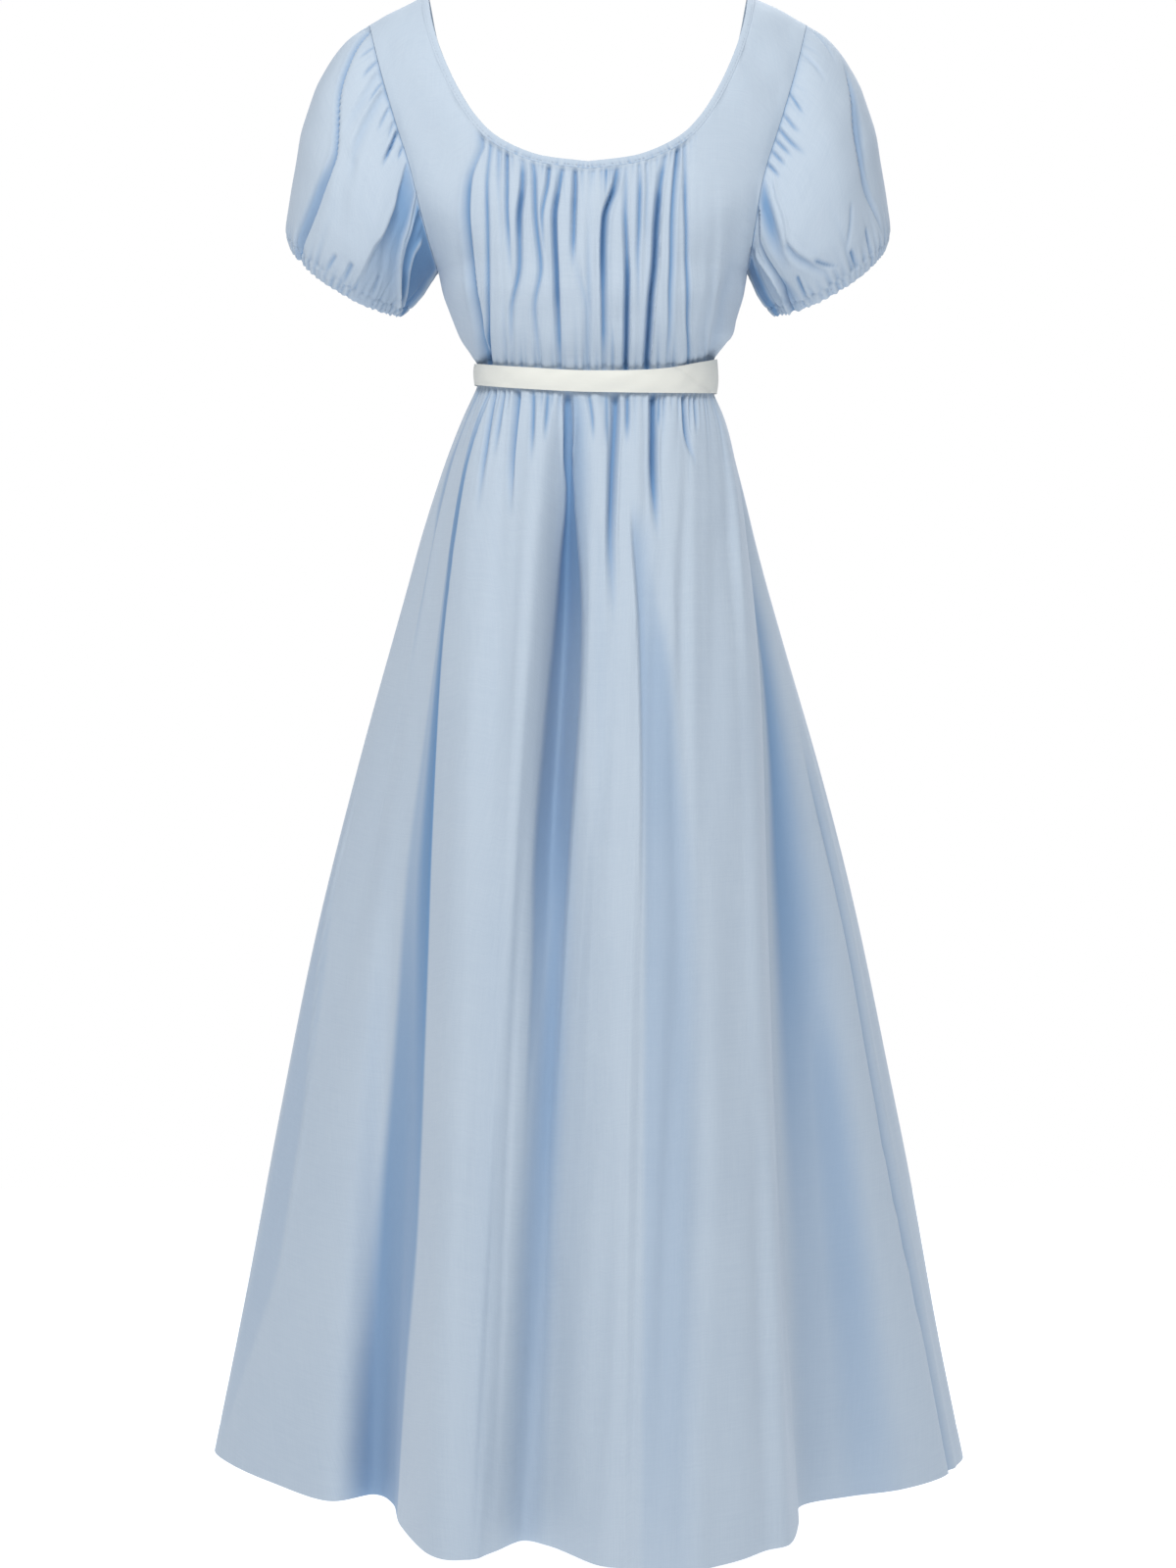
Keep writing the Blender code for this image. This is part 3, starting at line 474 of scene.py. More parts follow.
figure = {
    "shoulderX": 0.198, "shoulderZ": -0.012, "shoulderSlope": 0.5, "shoulderRound": 2.2,
    "chestZ": -0.13, "underarmZ": -0.236, "bodyPower": 2.5, "armHollow": 0.034, "armHollowRise": 0.075,
    "armholeZ": (-0.236, -0.199, -0.154, -0.110, -0.064, -0.012),
    "armholeX": (0.1403, 0.1473, 0.1568, 0.1707, 0.1845, 0.198),
    "halfZ": (-0.3083, -0.2905, -0.2727, -0.2549, -0.236),
    "halfX": (0.1177, 0.1253, 0.1315, 0.1373, 0.1403),
    "depthZ": (-0.320, -0.290, -0.255, -0.200, -0.130, -0.060, 0.010),
    "depthFront": (0.103, 0.116, 0.125, 0.125, 0.114, 0.101, 0.090),
    "depthBack": (0.101, 0.110, 0.114, 0.114, 0.107, 0.098, 0.090),
    "middleZ": (-1.325, -0.500, -0.420, -0.334, -0.255, -0.160, 0),
    "middleX": (0, 0.0005, 0.003, 0.0072, 0.005, 0, 0),
    "waistHalf": 0.1081, "waistDepth": 0.0935, "pinchRise": 0.026, "beltMargin": 0.001,
    "beltAngle": (-90, -30, 0, 28, 52, 90, 180),
    "beltTop": (-0.3190, -0.3267, -0.3302, -0.3278, -0.3213, -0.3145, -0.3190),
    "beltBottom": (-0.3380, -0.3458, -0.3492, -0.3495, -0.3485, -0.3457, -0.3380),
    "neckX": (0.1510, 0.1462, 0.1400, 0.1248, 0.1025, 0.0830, 0.0420, 0),
    "neckZ": (0.0115, -0.0160, -0.0385, -0.0760, -0.1130, -0.1320, -0.1500, -0.1556),
    "backNeckRise": 0.010,
    "seamGap": 0.0001,
}


# how far the middle of the dress leans to one side at a height, from the table
def middleX(z):
    return through(figure["middleZ"], figure["middleX"], z)


# height of the belt's edge at an angle round the body, in degrees from the middle front
def beltEdge(edge, angle):
    return roundRing(figure["beltAngle"], figure[edge], 360, angle)


# the waist seam lies half way between the belt's edges
def waistSeamZ(angle):
    return (beltEdge("beltTop", angle) + beltEdge("beltBottom", angle)) / 2


# a panel's section angle, from its own middle, as degrees round the body
def roundAngle(turn, side):
    return np.degrees(turn) if side == front else 180 - np.degrees(turn)


# shoulder line: z = shoulderZ + (shoulderX - |x|) * slope
def shoulderZ(x):
    return figure["shoulderZ"] + (figure["shoulderX"] - np.abs(x)) * figure["shoulderSlope"]


# distance of the armhole seam from the middle at a height, from the table
def armholeX(z):
    return through(figure["armholeZ"], figure["armholeX"], z)


# half width of the body: the table's below the underarm, and above it the armhole's with a hollow added,
# armHollow * smoothStep(rise)**0.7
def bodyHalf(z):
    below = through(figure["halfZ"], figure["halfX"], z)
    hollow = figure["armHollow"] * smoothStep((z - figure["underarmZ"]) / figure["armHollowRise"]) ** 0.7
    return np.where(z < figure["underarmZ"], below, armholeX(z) + hollow)


# section angle of a point: arcsin of (x / half width)**(n/2)
def bodyAngle(x, z):
    return np.arcsin(np.clip(signedPower(x / bodyHalf(z), figure["bodyPower"] / 2), -1.0, 1.0))


# superellipse sections: x = half*sin(t)**(2/n), y = depth*cos(t)**(2/n), rounded over the shoulders and
# pinched at the belt
def bodyPoint(turn, z, side):
    power, roundness = 2 / figure["bodyPower"], figure["shoulderRound"]
    past = (z - beltEdge("beltTop", roundAngle(turn, side)) - figure["beltMargin"]) / figure["pinchRise"]
    full = 1 - (1 - np.clip(past, 0, 1)) ** 2.6
    depth = through(figure["depthZ"], figure["depthFront" if side == front else "depthBack"], z)
    half = figure["waistHalf"] + (bodyHalf(z) - figure["waistHalf"]) * full
    depth = figure["waistDepth"] + (depth - figure["waistDepth"]) * full
    x = half * signedPower(np.sin(turn), power)
    rise = np.clip((z - figure["chestZ"]) / (shoulderZ(x) - figure["chestZ"]), 0.0, 1.0)
    rounded = (1 - rise**roundness) ** (1 / roundness)
    y = side * depth * np.clip(np.cos(turn), 0.0, 1.0) ** power * rounded
    return np.stack([x + middleX(z), y, z], axis=-1)


# half the neckline from the shoulder (share 0) to the middle (1), moved up by lift at right angles to itself
def neckCurve(side, lift, shares):
    fine = np.linspace(0, 1, 1600)
    stations = np.linspace(0, 1, len(figure["neckX"]))
    x, z = through(stations, figure["neckX"], fine), through(stations, figure["neckZ"], fine)
    if side == back:
        z = z + figure["backNeckRise"] * fine**1.5
    along = unit(np.stack([np.gradient(x), np.gradient(z)], axis=-1))
    along[0] = 0.0, -1.0
    along[-1] = -1.0, 0.0
    x = x + lift * along[:, 1]
    z = z - lift * along[:, 0]
    z[0] = shoulderZ(x[0])
    length = runLength(np.stack([x, z], axis=-1))
    at = np.asarray(shares) * length[-1]
    return np.interp(at, length, x), np.interp(at, length, z)


bodice = {
    "wall": 0.0009,
    "columns": {front: 430, back: 260},
    "rows": {front: 84, back: 66},
    # shares of half a panel's columns up to the end of the gathers and up to the shoulder seam
    "gatherShare": 0.5, "gatherHalf": 0.094, "shoulderShare": 0.86,
    # where columns and rows are closer together: even steps, and where they go
    "columnSteps": ((0, 0.68, 1), (0, 0.56, 1)),
    "rowSteps": ((0, 0.12, 0.32, 0.48, 0.88, 1), (0, 0.08, 0.285, 0.335, 0.92, 1)),
    "gatherTo": (0.105, 0.122), "gatherFade": 0.02,     # from the middle, at the neck and at the belt
    "neckFade": 0.0035, "sideFade": 0.05,     # of the relief: in metres, and as a share of half the panel
    # spacing, half width, depth, reach and how dark their painted shade is
    "beltGathers": (0.007, 0.001, 0.003, 0.013, 0.8),
    "neckGathers": (0.0056, 0.0009, 0.0024, 0.011, 0.8),
    # height and the wavelengths across and down
    "crumple": (0.0005, 0.02, 0.11), "waves": (0.001, 0.05, 0.08),
    "foldDepth": 1.5, "foldWidth": 0.76,
    # valleys: mm from the middle at six heights, mm deep at the neck, upper, lower and belt, mm half wide
    "foldZ": (-0.135, -0.165, -0.200, -0.240, -0.280, -0.320),
    "depthZ": (-0.150, -0.185, -0.260, -0.318),
    "folds": (
        (-93.2, -104.2, -107.8, -107.4, -104, -100, 2, 3.4, 4.4, 3.6, 2.6),
        (-86.5, -89.2, -90.8, -93.8, -96.6, -98.5, 1.4, 1.8, 2.6, 3.8, 1.6),
        (-79, -79, -79, -80, -81, -81, 1.2, 0.6, 0.4, 0.8, 1.6),
        (-71.2, -71.2, -72.5, -73, -73, -73, 2.6, 2.2, 0.3, 0.6, 1.5),
        (-57.6, -58.4, -63.4, -66, -74.8, -76, 1.4, 4.8, 2.2, 0.4, 2.1),
        (-50.9, -46.8, -47.6, -46.4, -53, -50.8, 1.8, 2.8, 1.8, 1, 2),
        (-33, -35, -42, -43, -43, -43, 3.2, 2, 0, 0, 1.6),
        (-19.5, -24, -30.3, -31.9, -32.2, -31.8, 1.2, 4.4, 4.4, 1.6, 2),
        (-11, -11, -13.5, -17, -17.3, -17.3, 1.4, 4, 0, 0, 2),
        (-8, -12, -15.1, -14, -6.6, -8, 0, 0, 1.2, 1.6, 2.6),
        (6, 3, -1, -4, -5, -6, 1.4, 0.6, 1.2, 0, 2.2),
        (16.7, 16, 15.1, 15.1, 15.1, 15.1, 2.2, 0.4, 0, 1, 1.4),
        (27, 23.6, 11.8, 8, 7, 6, 1.2, 5.6, 4.4, 1.4, 2.2),
        (33.6, 33.6, 31.8, 31, 29.2, 27.2, 0.8, 1.6, 4.6, 5, 1.9),
        (45.8, 45.8, 43.8, 40, 39, 39, 0.6, 2.2, 0.8, 0, 1.8),
        (52, 52, 50, 48, 47, 47, 0.6, 0.8, 0, 0, 1.4),
        (70, 65, 60.4, 55.8, 50.4, 46.9, 1.6, 5.2, 6.6, 6, 2.2),
        (79, 76.2, 72.4, 69, 66.4, 64, 3.6, 2.6, 2, 1, 1.9),
        (85.6, 86.2, 85.2, 83.8, 84, 83.8, 1, 1.8, 2.2, 2.2, 1.5),
        (109, 111, 111.5, 109, 102, 95.5, 0, 0.3, 1.1, 1.4, 3.6),
        (129.7, 129.7, 129.7, 125.1, 114.4, 107.5, 0, 0.4, 2.4, 2.8, 6),
    ),
    # which side of each valley is sharper
    "leans": (0.45, -0.2, 0, 0.2, -0.35, 0.1, 0.2, 0.35, 0.2, 0.1, 0,
              0.2, -0.4, 0.3, 0.2, 0, 0.4, -0.25, 0.2, 0.3, 0),
}


# where a panel column meets the neckline: by distance from the middle where it is gathered, by length beyond
def neckShare(side, u):
    fine = np.linspace(0, 1, 1600)
    x, _ = neckCurve(side, 0.0, fine)
    edge = np.interp(-bodice["gatherHalf"], -x, fine)
    gathered = np.interp(-np.abs(u) * bodice["gatherHalf"] / bodice["gatherShare"], -x, fine)
    plain = edge * (bodice["shoulderShare"] - np.abs(u)) / (bodice["shoulderShare"] - bodice["gatherShare"])
    return np.where(np.abs(u) <= bodice["gatherShare"], gathered, np.clip(plain, 0, 1))


# section angle and height of the panel's top edge: shoulder seam, neckline, shoulder seam
def panelTop(side, u):
    neckX, neckZ = neckCurve(side, 0.0, neckShare(side, u))
    cornerX, _ = neckCurve(side, 0.0, 0.0)
    out = np.clip((np.abs(u) - bodice["shoulderShare"]) / (1 - bodice["shoulderShare"]), 0, 1)
    onShoulder = np.abs(u) > bodice["shoulderShare"]
    x = np.where(onShoulder, cornerX + (figure["shoulderX"] - cornerX) * out, neckX)
    z = np.where(onShoulder, shoulderZ(x), neckZ)
    return bodyAngle(np.sign(u) * x, z), z


# the same of its bottom edge: by distance from the middle where it is gathered, by angle from there
def panelBottom(side, u):
    gatheredX = np.clip(u / bodice["gatherShare"], -1, 1) * bodice["gatherHalf"]
    gathered = np.arcsin(signedPower(gatheredX / figure["waistHalf"], figure["bodyPower"] / 2))
    past = np.clip((np.abs(u) - bodice["gatherShare"]) / (1 - bodice["gatherShare"]), 0, 1)
    turn = gathered + (np.sign(u) * math.pi / 2 - gathered) * past
    return turn, waistSeamZ(roundAngle(turn, side)) + figure["seamGap"] / 2


# the same of a side edge: the side seam at a quarter turn, then the armhole seam
def panelSide(side, hand, v):
    _, low = panelBottom(side, np.array(float(hand)))
    z = low + (figure["shoulderZ"] - low) * v
    edge = np.where(z < figure["underarmZ"], math.pi / 2, bodyAngle(armholeX(z), z))
    return hand * edge, z


# patch in section angle and height, then laid on the figure: straight from bottom to top, moved to meet both
# sides by shares that fade across as (1 - s)**7
def panelPoint(side, u, v):
    s = (u + 1) / 2
    flat = (1 - v) * np.array(panelBottom(side, u)) + v * np.array(panelTop(side, u))
    for hand, across in ((left, (1 - s) ** 7), (right, s**7)):
        low, high = [np.array(panelSide(side, hand, np.array(end)))[:, None, None] for end in (0.0, 1.0)]
        flat += across * (np.array(panelSide(side, hand, v)) - (1 - v) * low - v * high)
    return bodyPoint(flat[0], flat[1], side)


# the front's valleys; the back has them mirrored, their depths passed on to the next
def bodiceFolds(side):
    folds = np.array(bodice["folds"]) * mm
    if side == front:
        return folds
    folds = folds[::-1].copy()
    folds[:, :6] *= -1
    folds[:, 6:10] = np.roll(folds[:, 6:10], 1, axis=0)
    return folds


# relief of a panel: folds along their lines, small gathers at the belt and the neck, and a little crumpling
def bodiceRelief(side, points, fromNeck, fromBelt):
    z = points[..., 2]
    x = points[..., 0] - middleX(z)
    relief, shade = np.zeros_like(x), np.zeros_like(x)
    for fold, lean in zip(bodiceFolds(side), bodice["leans"]):
        line = through(bodice["foldZ"][::-1], fold[:6][::-1], z)
        depth = bodice["foldDepth"] * through(bodice["depthZ"][::-1], fold[6:10][::-1], z)
        width = fold[10] * bodice["foldWidth"]
        valley, coreShade = foldAcross(x - line, width, lean)
        relief -= depth * valley
        # painted shade darkens each fold's bottom
        shade = np.maximum(shade, paintedFoldShade(depth / width) * coreShade)
    gathered, nearBelt = [smoothStep((to - np.abs(x)) / bodice["gatherFade"]) for to in bodice["gatherTo"]]
    relief, shade = addGathers(bodice["beltGathers"], x, fromBelt, nearBelt, 31 + side, relief, shade)
    relief, shade = addGathers(bodice["neckGathers"], x, fromNeck, gathered, 35 + side, relief, shade)
    relief += unevenWaves(bodice["crumple"], x, z, 12 + side) * gathered
    relief += unevenWaves(bodice["waves"], x, z, 17 + side)
    atNeck = smoothStep(fromNeck / bodice["neckFade"])
    return relief * atNeck, shade * atNeck


# a panel's points, normals, relief and shade, with its rows and columns closer together where it is gathered
def bodiceGrid(side):
    rows, columns = bodice["rows"][side], bodice["columns"][side]
    even = np.linspace(-1, 1, columns)
    u = np.broadcast_to(np.sign(even) * np.interp(np.abs(even), *bodice["columnSteps"]), (rows, columns))
    v = np.interp(np.linspace(0, 1, rows), *bodice["rowSteps"])[:, None]
    points = panelPoint(side, u, np.broadcast_to(v, u.shape))
    normals = gridNormals(points, np.array([0.0, side, 0.0]) + points * [4, 0, 0])
    fromNeck = np.linalg.norm(points - points[-1:], axis=-1)
    angle = roundAngle(bodyAngle(points[..., 0] - middleX(points[..., 2]), points[..., 2]), side)
    fromBelt = points[..., 2] - beltEdge("beltTop", angle)
    relief, shade = bodiceRelief(side, points, fromNeck, np.maximum(fromBelt, 0.0))
    return u, points, normals, relief * smoothStep((fromBelt + 0.002) / 0.004), shade


# a panel: its relief fades out at the sides, and its seams lie half a seam gap from the middle of the depth
def makeBodice(side):
    u, points, normals, relief, shade = bodiceGrid(side)
    onSeam = np.zeros(u.shape, bool)
    onSeam[:, [0, -1]] = points[:, [0, -1], 2] < figure["underarmZ"] + 0.003
    onSeam[-1] = np.abs(u[-1]) >= bodice["shoulderShare"] - 1e-6
    normals[onSeam, 1] = 0
    normals = unit(normals)
    points[onSeam, 1] = side * figure["seamGap"] / 2
    edge = smoothStep((1 - np.abs(u)) / bodice["sideFade"])
    outer = points + normals * (relief * edge)[..., None]
    name = "bodiceFrontCloth" if side == front else "bodiceBackCloth"
    return clothShell(name, outer, outer - normals * bodice["wall"], normals, shade * edge, blueCloth), outer


bodiceFront, frontPoints = makeBodice(front)
bodiceBack, backPoints = makeBodice(back)
bodicePoints = {front: frontPoints, back: backPoints}
print("bodice made")

binding = {
    "width": 0.0075, "thickness": 0.0019, "steps": 560, "around": 18,
    "lift": 0.0003,                       # its seam above the neckline
    "pucker": 0.00035,                    # where the gathers are caught in its seam
    "caughtDepth": 0.0007, "gathers": (0.0042, 0.0008),     # spacing, half width
    "sunk": 0.00035, "inset": 0.0009,     # of its path, into the cloth and back over the seam
    "ripples": ((1, 0.0075, 1), (0.3, 0.016, 1)),
    "stitch": 0.0024, "stitchGap": 0.0011, "thread": 0.00042,
    "stitchIn": 0.0016, "stitchSink": 0.00022, "stitchWidth": 0.0007, "threadSink": 0.00012,
}


# seam line of the binding round the neck, with the directions across its width and out of the cloth
def neckPath(count):
    seam, edge = [], []
    for side in (front, back):
        for lift, store in ((binding["lift"], seam), (binding["width"], edge)):
            x, z = neckCurve(side, lift, np.linspace(0, 1, count))
            halves = [bodyPoint(bodyAngle(hand * x, z), z, side) for hand in (left, right)]
            halves[0][0, 1] = halves[1][0, 1] = 0.0
            line = np.concatenate([halves[0], halves[1][-2::-1]])
            store.append(line if side == front else line[::-1])
    seam, edge = [np.concatenate([lines[0][:-1], lines[1][:-1]]) for lines in (seam, edge)]
    length = runLength(seam, True)
    at = np.linspace(0, length[-1], binding["steps"], endpoint=False)
    seam, edge = alongLine(at, length, seam), alongLine(at, length, edge)
    side = unit(edge - seam)
    out = unit(np.cross(unit(np.roll(seam, -1, 0) - np.roll(seam, 1, 0)), side))
    away = (seam - [0, 0, -0.5]) * [1, 1, 0.02]
    out *= np.where(np.sum(out * away, -1, keepdims=True) < 0, -1.0, 1.0)
    # both directions smoothed along the line
    for _ in range(6):
        side, out = [unit(np.roll(line, 1, 0) + line * 2 + np.roll(line, -1, 0)) for line in (side, out)]
    return seam, side, out, at


# a flattened round section, puckered at gathers: x = half*(1 - cos(a)**0.55), y = thickness/2*sin(a)**0.65
def makeBinding():
    seam, side, out, at = neckPath(900)
    angle = np.linspace(0, 2 * math.pi, binding["around"], endpoint=False)
    half, thick = binding["width"] / 2 - binding["lift"] / 2, binding["thickness"] / 2
    x = half * (1 - signedPower(np.cos(angle), 0.55)) + binding["lift"]
    y = thick * signedPower(np.sin(angle), 0.65)
    section = np.broadcast_to(np.stack([x, y], -1), (len(seam), len(x), 2)).copy()
    gathered = smoothStep((0.10 - np.abs(seam[:, 0])) / 0.02)
    fine, wide = [unevenWaves(row, at, 0 * at, seed) for row, seed in zip(binding["ripples"], (5, 6))]
    ripple = fine * gathered + wide
    nearSeam = 1 - x / binding["width"]
    caught = (gathers(at, *binding["gathers"], 8)[0] * gathered)[:, None]
    section[..., 1] += binding["pucker"] * ripple[:, None] * (0.35 + nearSeam) * np.where(y > 0, 1.0, 0.3)
    section[..., 1] -= binding["caughtDepth"] * caught * nearSeam * (y > 0)
    # the stitch line sinks in a little
    fromStitch = x - binding["stitchIn"] - binding["lift"]
    section[..., 1] -= binding["stitchSink"] * np.exp(-(fromStitch / binding["stitchWidth"]) ** 2) * (y > 0)
    # painted shade where gathers are caught in the seam, and a little along the seam where it is gathered
    paintedShade = caught * nearSeam * 1.1 + 0.25 * smoothStep(nearSeam * 6 - 5) * gathered[:, None]
    path = seam - out * binding["sunk"] - side * binding["inset"]
    piece = closedTube("neckBindingCloth", path, side, out, section, np.clip(paintedShade, 0, 1), blueCloth)
    return piece, (seam, side, out)


neckBinding, neckLine = makeBinding()
print("neck binding made")


# many short threads: each is a six-sided spindle, radius*sqrt(1 - t**4), laid along the line and bowed at its
# ends into the cloth
def makeStitches(name, starts, ends, out, radius):
    rings, sides = 5, 6
    one = rings * sides
    t = np.linspace(-1, 1, rings)[:, None]
    swell = np.maximum(np.sqrt(1 - np.abs(t) ** 4), 0.12)
    angle = np.linspace(0, 2 * math.pi, sides, endpoint=False)[:, None]
    along = unit(ends - starts)
    across = unit(np.cross(along, out))
    centre = (starts + ends)[:, None] / 2 + (ends - starts)[:, None] / 2 * t
    centre = centre + out[:, None] * (radius * (0.7 - 1.5 * t**4))
    ring = across[:, None, None] * np.cos(angle) + out[:, None, None] * np.sin(angle)
    points = (centre[:, :, None] + ring * (radius * swell)[:, None]).reshape(len(starts), one, 3)
    row, column = gridSquares(rings - 1, sides)
    squares = row * sides + column % sides
    caps = np.array([[0, 5, 4, 3], [3, 2, 1, 0]])
    caps = np.concatenate([caps, caps[::-1, ::-1] + one - sides])
    first = points[0]
    if np.sum(facing(first, squares) * (first[squares[:, 0]] - first.mean(0))) < 0:
        squares = squares[:, ::-1]
    if np.sum(np.cross(*(first[caps[0][[1, 2]]] - first[0])) * along[0]) > 0:
        caps = caps[:, ::-1]
    faces = np.concatenate([squares, caps])[None] + (np.arange(len(starts)) * one)[:, None, None]
    faces = faces.reshape(-1, 4)
    flat = np.stack([(faces // sides % rings) * radius * 2, (faces % sides) * radius], -1)
    return meshObject(name, points.reshape(-1, 3), faces, flat, np.zeros(len(points) * one), paleThread)


# stitches of one length with gaps between them along a closed line of points
def stitchLine(line, out, stitch, gap):
    length = runLength(line, True)
    count = int(length[-1] / (stitch + gap))
    at = np.arange(count) * length[-1] / count
    starts, ends = alongLine(at, length, line), alongLine((at + stitch) % length[-1], length, line)
    return starts, ends, unit(alongLine((at + stitch / 2) % length[-1], length, out))


# a row of stitches along the binding, just inside its seam
def makeNeckStitches():
    seam, side, out = neckLine
    onTop = binding["thickness"] / 2 - binding["sunk"] - binding["threadSink"]
    line = seam + side * (binding["stitchIn"] + binding["lift"]) + out * onTop
    starts, ends, face = stitchLine(line, out, binding["stitch"], binding["stitchGap"])
    return makeStitches("neckStitches", starts, ends, face, binding["thread"] / 2)


neckStitches = makeNeckStitches()
print("neck stitches made")

